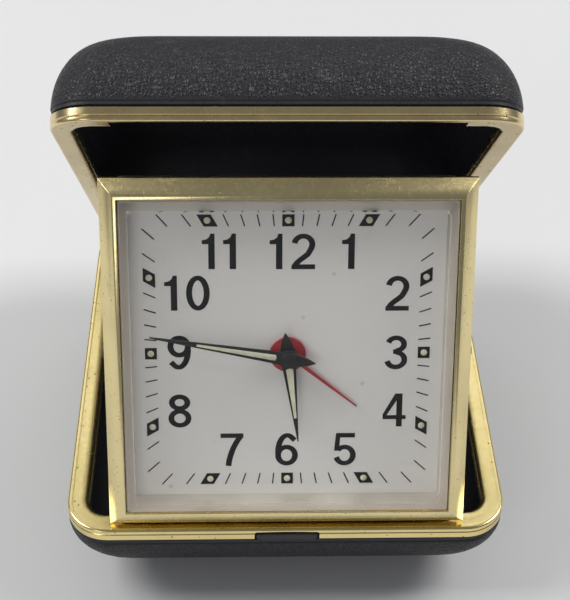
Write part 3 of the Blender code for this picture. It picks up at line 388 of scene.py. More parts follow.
def housing_plastic():
    """Black moulding, rubbed grey along its upper edge and dusty on top; its whole top face is painted lighter
    as painted light.
    """
    made = Finish("scuffed_black_plastic", (0.014, 0.014, 0.015), 0.42)
    tree = made.tree
    spot = clock_spot(made)
    cloud = made.use(MOTTLE, Scale=210.0)
    scuffs = made.use(SCUFFS, Scale=110.0, Amount=1.0)["Mask"]
    top = ramp(tree, spot["Z"], HOUSING_HALF_Z - 0.5 * MM, HOUSING_HALF_Z - 0.1 * MM)
    near = ramp(tree, spot["Y"], 2.4 * MM, 1.2 * MM)
    rubbed = times(tree, times(tree, top, near), ramp(tree, cloud["Fine"], 0.42, 0.56))
    dusty = times(tree, top, ramp(tree, cloud["Broad"], 0.5, 0.75, 0.0, 0.5))
    worn = sums(tree, "MAXIMUM", rubbed, sums(tree, "MAXIMUM", dusty, times(tree, scuffs, 0.6)))
    tone = blend_colour(tree, cloud["Broad"], (0.014, 0.014, 0.019), (0.026, 0.026, 0.033))
    # Painted light: the whole top face is painted a lighter grey, standing in for light that barely reaches it
    # in the lid's shade.
    tone = blend_colour(tree, top, tone, (0.17, 0.172, 0.20))
    made.feed("Base Color", blend_colour(tree, worn, tone, (0.50, 0.48, 0.46)))
    rough = scaled(tree, cloud["Fine"], 0.2, 0.32)
    made.feed("Roughness", scaled(tree, worn, 0.25, rough))
    made.bump(scaled(tree, worn, -0.5, cloud["Fine"]), 0.00003, 0.6)
    return made.material


def dial_paint():
    """Fine silvery white dial paint."""
    made = Finish("silver_white_dial", (0.79, 0.775, 0.76), 0.42, 0.1)
    tree = made.tree
    cloud = made.use(MOTTLE, Scale=60.0)
    fine = wire(tree, "ShaderNodeTexNoise", {"Vector": made.place, "Scale": 6500.0,
                                             "Detail": 2.0}).outputs["Fac"]
    specks = made.use(PITS, Scale=420.0, Share=0.04)["Mask"]
    tone = blend_colour(tree, cloud["Broad"], (0.77, 0.75, 0.735), (0.83, 0.815, 0.80))
    made.feed("Base Color", blend_colour(tree, times(tree, specks, 0.35), tone, (0.35, 0.32, 0.28)))
    made.feed("Roughness", scaled(tree, fine, 0.25, 0.32))
    made.bump(fine, 0.000012, 0.5)
    return made.material


def clear_acrylic():
    """Clear moulded crystal with faint scratches; lamps shine through it."""
    made = Finish("clear_acrylic", (0.97, 0.975, 0.97), 0.03, 0.0, Transmission_Weight=1.0, IOR=1.49)
    tree = made.tree
    scuffs = made.use(SCUFFS, Scale=60.0, Amount=0.35)["Mask"]
    cloud = made.use(MOTTLE, Scale=90.0)
    spot = clock_spot(made)
    inset = sums(tree, "MINIMUM", sums(tree, "SUBTRACT", BEZEL_HALF_X, sums(tree, "ABSOLUTE", spot["X"])),
                 sums(tree, "SUBTRACT", BEZEL_HALF_Z, sums(tree, "ABSOLUTE", spot["Z"])))
    frosted = ramp(tree, inset, BEZEL_BAR + 1.45 * MM, BEZEL_BAR + 1.62 * MM, 1.0, 0.0)
    made.feed("Base Color", blend_colour(tree, frosted, (0.97, 0.975, 0.97), (0.84, 0.80, 0.74)))
    smear = scaled(tree, frosted, 0.42, times(tree, cloud["Fine"], 0.05))
    made.feed("Roughness", scaled(tree, scuffs, 0.2, smear))
    made.bump(scuffs, 0.000004, 0.4)
    clear = wire(tree, "ShaderNodeBsdfTransparent", {"Color": (0.96, 0.965, 0.96, 1.0)}).outputs[0]
    lamp = wire(tree, "ShaderNodeLightPath").outputs["Is Shadow Ray"]
    mixed = wire(tree, "ShaderNodeMixShader", {0: lamp, 1: made.shader.outputs[0], 2: clear}).outputs[0]
    tree.links.new(mixed, tree.nodes["Material Output"].inputs["Surface"])
    return made.material


RIM_BRASS = brass("rim_brass", (0.86, 0.715, 0.33), (0.72, 0.57, 0.24), 0.22, 0.30)
# Painted shade: the lid's rim, hinge leaf and catch get a darker copy of the rim brass.
SHADED_LID_BRASS = brass("lid_brass_painted_shade", (0.80, 0.66, 0.36), (0.56, 0.42, 0.23), 0.24, 0.22)
BEZEL_BRASS = brass("bezel_brass", (0.82, 0.70, 0.37), (0.58, 0.48, 0.26), 0.25, 0.30, 1500.0)
WORKS_BRASS = brass("movement_brass", (0.80, 0.62, 0.28), (0.62, 0.44, 0.18), 0.30, 0.10, 1400.0, 0.8)
STEEL = plain("bright_steel", (0.56, 0.56, 0.57), (0.40, 0.40, 0.41), 0.34, 1.0, scratches=0.8)
PIN_METAL = plain("browned_pins", (0.085, 0.050, 0.032), (0.035, 0.022, 0.016), 0.42, 0.7, 600.0)
LEATHER = leatherette()
HOUSING_BLACK = housing_plastic()
BLACK = plain("black_plastic", (0.012, 0.012, 0.013), (0.022, 0.022, 0.024), 0.42)
COVER_BLACK = plain("cover_black", (0.014, 0.014, 0.016), (0.026, 0.026, 0.028), 0.5, relief=0.00004)
DIAL_PAINT = dial_paint()
SILVER = plain("silvered_surround", (0.54, 0.50, 0.45), (0.44, 0.40, 0.35), 0.45, 0.2, scratches=0.2)
INK = plain("black_ink", (0.005, 0.005, 0.005), (0.012, 0.012, 0.012), 0.6, clouding=400.0, scratches=0.1,
            Specular_IOR_Level=0.15)
LUME = plain("cream_lume", (0.72, 0.70, 0.55), (0.60, 0.57, 0.42), 0.7, clouding=900.0, relief=0.00003)
HAND_BLACK = plain("hand_black", (0.008, 0.008, 0.008), (0.018, 0.017, 0.016), 0.42, Specular_IOR_Level=0.3)
HAND_RED = plain("alarm_red", (0.42, 0.022, 0.035), (0.30, 0.014, 0.022), 0.38)
CRYSTAL = clear_acrylic()


# ---------------------------------------------------------------- shapes

def loft(loops, ring=False):
    """Closed skin over equal loops, capped at the ends or joined into a ring."""
    shape = bmesh.new()
    rows = [[shape.verts.new(point) for point in loop] for loop in loops]
    pairs = list(zip(rows, rows[1:]))
    if ring:
        pairs.append((rows[-1], rows[0]))
    else:
        shape.faces.new(rows[0])
        shape.faces.new(rows[-1])
    for low, high in pairs:
        for i in range(len(low)):
            j = (i + 1) % len(low)
            shape.faces.new((low[i], low[j], high[j], high[i]))
    return shape


def rounded(half_u, half_v, radius, steps=8):
    """Corner-rounded rectangle as (u, v) points."""
    radius = max(radius, 0.00001)
    points = []
    for quarter, (su, sv) in enumerate(((1, 1), (-1, 1), (-1, -1), (1, -1))):
        for step in range(steps + 1):
            turn = QUARTER * (quarter + step / steps)
            points.append((su * (half_u - radius) + radius * math.cos(turn),
                           sv * (half_v - radius) + radius * math.sin(turn)))
    return points


def level(points, z):
    return [(u, v, z) for u, v in points]


def facing(points, y, x=0.0, z=0.0):
    """Outline of (x, z) points at a depth in the clock's frame."""
    return [(u + x, y, v + z) for u, v in points]


def box(x, y, z):
    return loft([[(x[0], y[0], k), (x[1], y[0], k), (x[1], y[1], k), (x[0], y[1], k)] for k in z])


def turned(profile, steps=48, x=0.0, z=0.0, ring=False):
    """Turned shape about Y from (radius, y) points."""
    return loft([[(x + r * math.cos(math.tau * i / steps), y, z + r * math.sin(math.tau * i / steps))
                  for i in range(steps)] for r, y in profile], ring)


def arc(cx, cy, rx, ry, start, end, steps=8):
    """Points of an elliptical arc, angles in degrees."""
    return [(cx + rx * math.cos(math.radians(start + (end - start) * i / steps)),
             cy + ry * math.sin(math.radians(start + (end - start) * i / steps))) for i in range(steps + 1)]


def moved(shape, x=0.0, y=0.0, z=0.0, turn=0.0):
    """Turn clockwise seen from the dial's front, in degrees, then shift."""
    bmesh.ops.transform(shape, matrix=Matrix.Translation((x, y, z)) @
                        Matrix.Rotation(math.radians(turn), 4, "Y"), verts=shape.verts)
    return shape


def mesh_of(shape, name):
    """Mesh of a closed bmesh with its normals outward; the bmesh is freed."""
    bmesh.ops.recalc_face_normals(shape, faces=shape.faces)
    mesh = bpy.data.meshes.new(name)
    shape.to_mesh(mesh)
    shape.free()
    return mesh


def linked(name, data):
    thing = bpy.data.objects.new(name, data)
    bpy.context.scene.collection.objects.link(thing)
    return thing


def joined(*shapes):
    """One bmesh holding several closed shapes side by side."""
    whole = bmesh.new()
    for shape in shapes:
        mesh = mesh_of(shape, "part")
        whole.from_mesh(mesh)
        bpy.data.meshes.remove(mesh)
    return whole


def evaluated(obj):
    """Plain bmesh of an object with its modifiers applied; the object is removed."""
    bpy.context.view_layer.update()
    graph = bpy.context.evaluated_depsgraph_get()
    mesh = bpy.data.meshes.new_from_object(obj.evaluated_get(graph))
    shape = bmesh.new()
    shape.from_mesh(mesh)
    bpy.data.meshes.remove(mesh)
    old = obj.data
    bpy.data.objects.remove(obj)
    bpy.data.meshes.remove(old)
    return shape


def combine(operation, body, *tools):
    for tool in tools:
        base, other = [linked("blank", mesh_of(shape, "blank")) for shape in (body, tool)]
        modifier = base.modifiers.new("Boolean", "BOOLEAN")
        modifier.operation = operation
        modifier.object = other
        body = evaluated(base)
        spare = other.data
        bpy.data.objects.remove(other)
        bpy.data.meshes.remove(spare)
    return body


def cut(body, *tools):
    return combine("DIFFERENCE", body, *tools)


def fused(body, *tools):
    return combine("UNION", body, *tools)


def softened(shape, width, segments=2, angle=32.0):
    """Round the sharp edges with a bevel."""
    base = linked("blank", mesh_of(shape, "blank"))
    bevel = base.modifiers.new("Bevel", "BEVEL")
    bevel.width = width
    bevel.segments = segments
    bevel.limit_method = "ANGLE"
    bevel.angle_limit = math.radians(angle)
    bevel.harden_normals = False
    return evaluated(base)


def finished(name, shape, material, body="clock_case", matrix=CLOCK, replaces=(), sharp=35.0,
             grain=False):
    """Turn a shape into a named piece that rides on its body."""
    mesh = mesh_of(shape, name)
    if grain:
        values = []
        for vert in mesh.vertices:
            outside = vert.co.xy.dot(vert.normal.xy) + vert.co.z * vert.normal.z > 0.0
            values.append(1.0 if outside and abs(vert.co.z) > GRAIN_START else 0.0)
        layer = mesh.attributes.new("grain", "FLOAT", "POINT")
        layer.data.foreach_set("value", values)
    mesh.transform(matrix)
    mesh.shade_smooth()
    mesh.set_sharp_from_angle(angle=math.radians(sharp))
    mesh.materials.clear()
    mesh.materials.append(material)
    piece = linked(name, mesh)
    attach(piece, body)
    if replaces:
        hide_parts(*replaces)


# ---------------------------------------------------------------- repeats

def repeat_tree(name, **inputs):
    """Geometry tree with named inputs; returns (tree, input sockets, index of each copy)."""
    tree = open_tree(name, "GeometryNodeTree", {**inputs, "Material": None})
    tree.interface.new_socket("Geometry", in_out="OUTPUT", socket_type="NodeSocketGeometry")
    return tree, wire(tree, "NodeGroupInput").outputs, wire(tree, "GeometryNodeInputIndex").outputs[0]


def copies(tree, given, count, spot, piece, **turns):
    """Stand copies of a piece at points, make them real and give them their material."""
    points = wire(tree, "GeometryNodePoints", {"Count": count, "Position": spot}).outputs[0]
    stood = wire(tree, "GeometryNodeInstanceOnPoints",
                 {"Points": points, "Instance": piece, **turns}).outputs[0]
    real = wire(tree, "GeometryNodeRealizeInstances", {0: stood}).outputs[0]
    coated = wire(tree, "GeometryNodeSetMaterial", {"Geometry": real, "Material": given["Material"]}).outputs[0]
    wire(tree, "NodeGroupOutput", {"Geometry": coated})
    return tree


def round_bar(tree, given, vertices):
    return wire(tree, "GeometryNodeMeshCylinder", {"Vertices": vertices, "Radius": given["Radius"],
                                                   "Depth": given["Length"]}).outputs["Mesh"]


def vector(tree, x=0.0, y=0.0, z=0.0):
    return wire(tree, "ShaderNodeCombineXYZ", {0: x, 1: y, 2: z}).outputs[0]


def tick_tree():
    """Minute strokes on rays, cut by a square band, with every fifth left out."""
    tree, given, index = repeat_tree("minute_ticks", Inner=0.02, Outer=0.022, Width=0.0002, Thickness=0.0001,
                                     Depth=0.0)
    skipped = sums(tree, "FLOOR", sums(tree, "DIVIDE", index, 4.0))
    minute = sums(tree, "ADD", sums(tree, "ADD", index, skipped), 1.0)
    angle = times(tree, minute, math.tau / 60)
    across, upward = sums(tree, "SINE", angle), sums(tree, "COSINE", angle)
    major = sums(tree, "MAXIMUM", sums(tree, "ABSOLUTE", across), sums(tree, "ABSOLUTE", upward))
    near = sums(tree, "DIVIDE", given["Inner"], major)
    far = sums(tree, "DIVIDE", given["Outer"], major)
    middle = times(tree, sums(tree, "ADD", near, far), 0.5)
    spot = vector(tree, times(tree, across, middle), given["Depth"],
                  times(tree, upward, middle))
    stroke = wire(tree, "GeometryNodeMeshCube", {"Size": (1.0, 1.0, 1.0)}).outputs["Mesh"]
    size = vector(tree, given["Width"], given["Thickness"], sums(tree, "SUBTRACT", far, near))
    return copies(tree, given, 48, spot, stroke, Scale=size, Rotation=vector(tree, 0.0, angle, 0.0))


def ring_tree():
    """Round bars stood in a ring about Y: knurls and grip ribs."""
    tree, given, index = repeat_tree("ring_of_ribs", Count=24, Reach=0.002, Radius=0.0002, Length=0.002,
                                     Depth=0.0)
    angle = times(tree, sums(tree, "DIVIDE", index, given["Count"]), math.tau)
    spot = vector(tree, times(tree, sums(tree, "SINE", angle), given["Reach"]), given["Depth"],
                  times(tree, sums(tree, "COSINE", angle), given["Reach"]))
    laid = wire(tree, "GeometryNodeTransform", {"Geometry": round_bar(tree, given, 8),
                                                "Rotation": Euler((QUARTER, 0.0, 0.0))}).outputs[0]
    return copies(tree, given, given["Count"], spot, laid)


def row_tree():
    """Rounded ribs in a row along X, each lying along Z."""
    tree, given, index = repeat_tree("row_of_ribs", Count=5, Spacing=0.001, Radius=0.0002, Length=0.002,
                                     Middle=(0.0, 0.0, 0.0))
    half = times(tree, sums(tree, "SUBTRACT", given["Count"], 1.0), 0.5)
    offset = vector(tree, times(tree, sums(tree, "SUBTRACT", index, half), given["Spacing"]))
    spot = wire(tree, "ShaderNodeVectorMath", {0: given["Middle"], 1: offset}, operation="ADD").outputs[0]
    return copies(tree, given, given["Count"], spot, round_bar(tree, given, 12))


def screw_tree():
    """Four slotted screw heads at the corners of a square, each turned its own way."""
    tree, given, index = repeat_tree("corner_screws", Place=0.02, Radius=0.001, Height=0.0005, Slot=0.0003,
                                     Depth=0.0, Seed=3)
    halves = sums(tree, "FLOOR", sums(tree, "DIVIDE", index, 2.0))
    sides = [scaled(tree, sums(tree, "MODULO", value, 2.0), 2.0, -1.0) for value in (index, halves)]
    spot = vector(tree, times(tree, sides[0], given["Place"]), given["Depth"],
                  times(tree, sides[1], given["Place"]))
    top = times(tree, given["Radius"], 0.8)
    head = wire(tree, "GeometryNodeMeshCone", {"Vertices": 40, "Radius Top": top, "Depth": given["Height"],
                                               "Radius Bottom": given["Radius"]}).outputs["Mesh"]
    groove = wire(tree, "GeometryNodeMeshCube", {"Size": vector(
        tree, times(tree, given["Radius"], 3.0), given["Slot"], given["Height"])}).outputs["Mesh"]
    raised = wire(tree, "GeometryNodeTransform", {"Geometry": groove, "Translation": vector(
        tree, 0.0, 0.0, given["Height"])}).outputs[0]
    slotted = wire(tree, "GeometryNodeMeshBoolean", {"Mesh 1": head, "Mesh 2": raised}, operation="DIFFERENCE")
    laid = wire(tree, "GeometryNodeTransform", {"Geometry": slotted.outputs["Mesh"],
                                                "Rotation": Euler((-QUARTER, 0.0, 0.0))}).outputs[0]
    chance = wire(tree, "FunctionNodeRandomValue", {"Seed": given["Seed"]}, data_type="FLOAT")
    turn = vector(tree, 0.0, times(tree, chance.outputs[1], math.pi), 0.0)
    return copies(tree, given, 4, spot, laid, Rotation=turn)


TICKS, RIBS, ROW, SCREWS = tick_tree(), ring_tree(), row_tree(), screw_tree()


def grown(tree, material, **values):
    """Run a repeat and return its plain bmesh."""
    blank = linked("repeat", bpy.data.meshes.new("repeat"))
    modifier = blank.modifiers.new("Repeat", "NODES")
    modifier.node_group = tree
    sockets = {item.name: item.identifier for item in tree.interface.items_tree if item.in_out == "INPUT"}
    modifier[sockets["Material"]] = material
    for label, value in values.items():
        modifier[sockets[label]] = value
    return evaluated(blank)


# ---------------------------------------------------------------- case

GRAIN_START = 3.4 * MM
BAND_INSET = 0.16 * MM
ROLL_FLAT = 0.4 * MM
CURVE_STEPS = 18
CORNER_STEPS = 14
SIDE_STEPS = 20


def case_loop(inset, drop, radius):
    return level(rounded(CASE_HALF_X - inset, CASE_HALF_Y - inset, radius, CORNER_STEPS), drop)


def side_curve(depth, reach, wall):
    """(inset, drop) points from the straight wall to the crown."""
    return [(wall + (reach - wall / 2) * (1 - math.cos(turn)),
             STRAIGHT_WALL + (depth - wall - STRAIGHT_WALL) * math.sin(turn))
            for turn in [QUARTER * step / CURVE_STEPS for step in range(1, CURVE_STEPS + 1)]]


def case_shell(depth, form, side):
    """Covered shell: smooth band by the rim, a small step, then the grained crown."""
    reach, softening, arch = form
    outside = [(SEAT, SEAT), (SEAT, SHOULDER), (BAND_INSET + 0.1 * MM, SHOULDER),
               (BAND_INSET, SHOULDER + 0.08 * MM), (BAND_INSET, GRAIN_START - 0.18 * MM),
               (0.11 * MM, GRAIN_START - 0.1 * MM), (0.02 * MM, GRAIN_START - 0.02 * MM),
               (0.0, GRAIN_START + 0.1 * MM)]
    outside += [point for point in side_curve(depth, reach, 0.0) if point[1] > 3.8 * MM]
    inside = [(SEAT + SHELL_WALL, SEAT), (SEAT + SHELL_WALL, SHOULDER), (SHELL_WALL, STRAIGHT_WALL)]
    inside += side_curve(depth, reach, SHELL_WALL)
    shape = bmesh.new()
    rows = []
    for inset, drop in outside[::-1] + inside:
        half_x, half_y, radius = CASE_HALF_X - inset, CASE_HALF_Y - inset, CORNER_RADIUS + softening * inset
        points = rounded(half_x, half_y, radius, CORNER_STEPS)
        count = len(points) // 4
        sides = [(half_y - radius) * (1 - 2 * k / SIDE_STEPS) for k in range(1, SIDE_STEPS)]
        points = (points[:2 * count] + [(-half_x, y) for y in sides] + points[2 * count:]
                  + [(half_x, -y) for y in sides])
        sunk = arch * max(drop - STRAIGHT_WALL, 0.0)
        rows.append([shape.verts.new((x, y, side * (drop - sunk * (y / CASE_HALF_Y) ** 2))) for x, y in points])
    for low, high in zip(rows, rows[1:]):
        for i in range(len(low)):
            shape.faces.new((low[i - 1], low[i], high[i], high[i - 1]))
    for row in (rows[0], rows[-1]):
        for i in range(len(row) // 2 - 1):
            right, left = CORNER_STEPS - i, CORNER_STEPS + 1 + i
            shape.faces.new((row[right], row[left], row[left + 1], row[right - 1]))
    return shape


def rim(side):
    """Pressed brass rim: flange with a groove and bead, crowned lip and rolled inner edge."""
    bead = 0.42 * MM
    section = [(RIM_SHEET, RIM_HEIGHT), (0.10 * MM, RIM_HEIGHT), (0.0, RIM_HEIGHT - 0.10 * MM),
               (0.0, 1.10 * MM), (0.10 * MM, 1.02 * MM), (0.16 * MM, 0.94 * MM), (0.10 * MM, 0.86 * MM),
               (0.01 * MM, 0.78 * MM)]
    section += arc(bead, bead, bead, bead, 180.0, 270.0, 6)
    section += [(0.8 * MM, 0.03 * MM), (1.0 * MM, 0.05 * MM), (2.0 * MM, 0.0), (2.9 * MM, 0.05 * MM)]
    section += arc(LIP_WIDTH - 0.7 * MM, 0.75 * MM, 0.7 * MM, 0.68 * MM, 285.0, 360.0, 6)
    rolled = RIM_SHEET + LIP_ROLL
    section += [(LIP_WIDTH, rolled), (LIP_WIDTH - ROLL_FLAT, rolled), (LIP_WIDTH - ROLL_FLAT, 0.8 * MM),
                (LIP_WIDTH - 0.7 * MM, RIM_SHEET), (RIM_SHEET, RIM_SHEET)]
    return loft([case_loop(inset, side * drop, CORNER_RADIUS - inset) for inset, drop in section], ring=True)


def lip_opening(width, stub):
    past = LIP_WIDTH + LIP_ROLL
    front = -CASE_HALF_Y
    return box((-width / 2, width / 2), (front + stub, front + past), (-past, past))


def lower_case():
    front = -CASE_HALF_Y
    relief = box((-FRONT_RELIEF / 2, FRONT_RELIEF / 2), (front + FRONT_SKIN, front + LIP_WIDTH),
                 (-FRONT_RELIEF_DROP, MM))
    shape = cut(case_shell(LOWER_DEPTH, LOWER_FORM, -1), relief)
    finished("lower_case_shell", shape, LEATHER, "lower_case", LOWER, ("lower_shell",),
             grain=True)
    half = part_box("latch_button")[1].x + 0.3 * MM
    outline = [(half, -4.0 * MM)] + arc(half - 0.5 * MM, -1.05 * MM, 0.5 * MM, 0.5 * MM, 0.0, 90.0, 5)
    outline += [(x * half, -0.55 * MM + 0.12 * MM * (1 - (x / 0.8) ** 2)) for x in (0.8, 0.5, 0.2, 0.0)]
    outline += [(-x, z) for x, z in outline[::-1][1:]]
    notch = loft([[(x, y, z) for x, z in outline] for y in (front - MM, front + 0.65 * MM)])
    shape = cut(rim(-1), lip_opening(LOWER_LIP_OPENING, LOWER_LIP_STUB), notch)
    finished("lower_case_rim", shape, RIM_BRASS, "lower_case", LOWER, ("lower_rim",), 28.0)


def lid_case():
    front = -CASE_HALF_Y
    slot = box((-CATCH_SLOT, CATCH_SLOT), (front + 0.4 * MM, front + LIP_WIDTH), (-MM, SHOULDER))
    shut = LID @ Matrix.Translation((0.0, LID_DROP, 0.0))
    shape = cut(case_shell(LID_DEPTH, LID_FORM, 1), slot)
    finished("lid_case_shell", shape, LEATHER, "lid", shut, ("lid_shell",), grain=True)
    shape = cut(rim(1), lip_opening(LID_LIP_OPENING, LID_LIP_STUB))
    finished("lid_case_rim", shape, SHADED_LID_BRASS, "lid", shut, ("lid_rim",), 28.0)


def latch():
    low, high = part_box("latch_button")
    half_x, half_z = (high.x - low.x) / 2, (high.z - low.z) / 2
    middle = (high.z + low.z) / 2
    loops = []
    for inset, y in ((0.0, high.y), (0.0, low.y + 0.3 * MM), (0.06 * MM, low.y + 0.12 * MM),
                     (0.2 * MM, low.y + 0.03 * MM), (0.45 * MM, low.y)):
        outline = rounded(half_x - inset, half_z - inset, 0.55 * MM - inset)
        loops.append(facing(outline, y, 0.0, middle))
    finished("latch_push_button", loft(loops), BLACK, "latch", Matrix.Identity(4),
             ("latch_button",))


# ---------------------------------------------------------------- clock

def mitred(section, half_x, half_z, radii=None):
    """Frame swept round a rectangle from (inset, y) points, mitred or with round corners."""
    loops = []
    for i, (inset, y) in enumerate(section):
        if radii:
            loops.append(facing(rounded(half_x - inset, half_z - inset, radii[i], 8), y))
        else:
            loops.append(facing([(sx * (half_x - inset), sz * (half_z - inset))
                                 for sx, sz in ((1, 1), (-1, 1), (-1, -1), (1, -1))], y))
    return loops


def bezel():
    sweep = 0.92 * QUARTER
    face = [(0.15 * MM + share * (BEZEL_BAR - 0.25 * MM),
             -0.12 * MM - (BEZEL_RISE - 0.16 * MM) * math.sin(sweep * share) / math.sin(sweep))
            for share in [step / 8 for step in range(8)]]
    section = [(0.0, BEZEL_EDGE), (0.0, 0.10 * MM), (0.04 * MM, 0.0)] + face
    section += [(BEZEL_BAR - 0.06 * MM, -BEZEL_RISE), (BEZEL_BAR, -BEZEL_RISE + 0.06 * MM),
                (BEZEL_BAR, BEZEL_EDGE)]
    shape = softened(loft(mitred(section, BEZEL_HALF_X, BEZEL_HALF_Z), ring=True), 0.05 * MM, 2, 50.0)
    finished("bezel_frame", shape, BEZEL_BRASS, replaces=("bezel",), sharp=30.0)


def crystal():
    edge = BEZEL_BAR + CRYSTAL_GAP
    top = edge + CRYSTAL_BORDER
    front = CRYSTAL_FRONT
    section = [(top + 0.08 * MM, front), (top, front + 0.03 * MM), (top - 0.12 * MM, front + 0.10 * MM),
               (edge + 0.12 * MM, -BEZEL_RISE - 0.03 * MM), (edge, -BEZEL_RISE + 0.1 * MM),
               (edge, front + CRYSTAL_THICK)]
    radii = (0.9 * MM, 1.1 * MM, 1.2 * MM, 0.35 * MM, 0.3 * MM, 0.3 * MM)
    shape = loft(mitred(section, BEZEL_HALF_X, BEZEL_HALF_Z, radii))
    finished("crystal_block", shape, CRYSTAL, replaces=("crystal",), sharp=6.0)


def dial_surround():
    """Silvered frame between the crystal and the dial, hiding the works round the edge."""
    inset = BEZEL_BAR + 0.1 * MM
    front, back = CRYSTAL_FRONT + CRYSTAL_THICK + 0.1 * MM, DIAL_DEPTH - 0.02 * MM
    section = [(inset, front), (inset, back), (inset + 1.3 * MM, back),
               (inset + 1.1 * MM, DIAL_DEPTH - 0.3 * MM), (inset + 0.4 * MM, front)]
    shape = loft(mitred(section, BEZEL_HALF_X, BEZEL_HALF_Z), ring=True)
    finished("dial_surround", shape, SILVER, sharp=30.0)


def mark(minute, band, half_width, depth):
    """Hour mark: a strip along its ray, cut by the square band."""
    angle = math.radians(6 * minute)
    across, upward = math.sin(angle), math.cos(angle)
    major = max(abs(across), abs(upward))
    points = []
    for reach, side in ((band[0], -1), (band[1], -1), (band[1], 1), (band[0], 1)):
        shift = side * half_width / major
        if abs(upward) >= abs(across):
            points.append((reach / major * across + shift, math.copysign(reach, upward)))
        else:
            points.append((math.copysign(reach, across), reach / major * upward + shift))
    return loft([facing(points, y) for y in depth])


def dial():
    face = DIAL_DEPTH
    half_x, half_z = dial_high.x, dial_high.z
    section = [(0.0, face + DIAL_THICK), (0.0, face + 0.05 * MM), (0.05 * MM, face)]
    card = loft(mitred(section, half_x, half_z, [0.5 * MM] * 3))
    card = cut(card, turned(((1.67 * MM, face - MM), (1.67 * MM, face + MM)), 40))
    finished("dial_card", card, DIAL_PAINT, replaces=("dial",))
    front = face - PRINT_THICK
    ticks = grown(TICKS, INK, Inner=BAND[0], Outer=BAND[1], Width=TICK_WIDTH, Thickness=2 * PRINT_THICK,
                  Depth=face)
    marks = [mark(minute, (BAND[0] - 0.02 * MM, BAND[1] - 0.02 * MM), MARK_WIDTH / 2,
                  (front - 0.02 * MM, face + 0.05 * MM)) for minute in range(0, 60, 5)]
    finished("minute_track", joined(ticks, *marks), INK)
    dots = []
    middle = (BAND[0] + BAND[1]) / 2
    for hour in range(12):
        angle = math.radians(30 * hour)
        major = max(abs(math.sin(angle)), abs(math.cos(angle)))
        profile = ((LUME_RADIUS, face), (LUME_RADIUS, front - 0.05 * MM),
                   (0.8 * LUME_RADIUS, front - 0.14 * MM), (0.4 * LUME_RADIUS, front - 0.19 * MM))
        dots.append(turned(profile, 20, middle / major * math.sin(angle), middle / major * math.cos(angle)))
    finished("lume_dots", joined(*dots), LUME)


# ---------------------------------------------------------------- numerals

def ribbon(path, closed=False):
    """Stroke round a centre line; upright parts are wider than level ones."""
    count = len(path)
    loops = []
    for i, (u, v) in enumerate(path):
        before = path[i - 1] if closed or i else path[i]
        after = path[(i + 1) % count] if closed or i < count - 1 else path[i]
        du, dv = after[0] - before[0], after[1] - before[1]
        length = math.hypot(du, dv)
        du, dv = du / length, dv / length
        half = math.hypot(UPRIGHT_STROKE * dv, LEVEL_STROKE * du) / 2
        loops.append([(u + side * half * dv, y, v - side * half * du)
                      for side, y in ((-1, 0.0), (1, 0.0), (1, 1.0), (-1, 1.0))])
    return loft(loops, ring=closed)


def slab(points):
    return loft([facing(points, y) for y in (0.0, 1.0)])


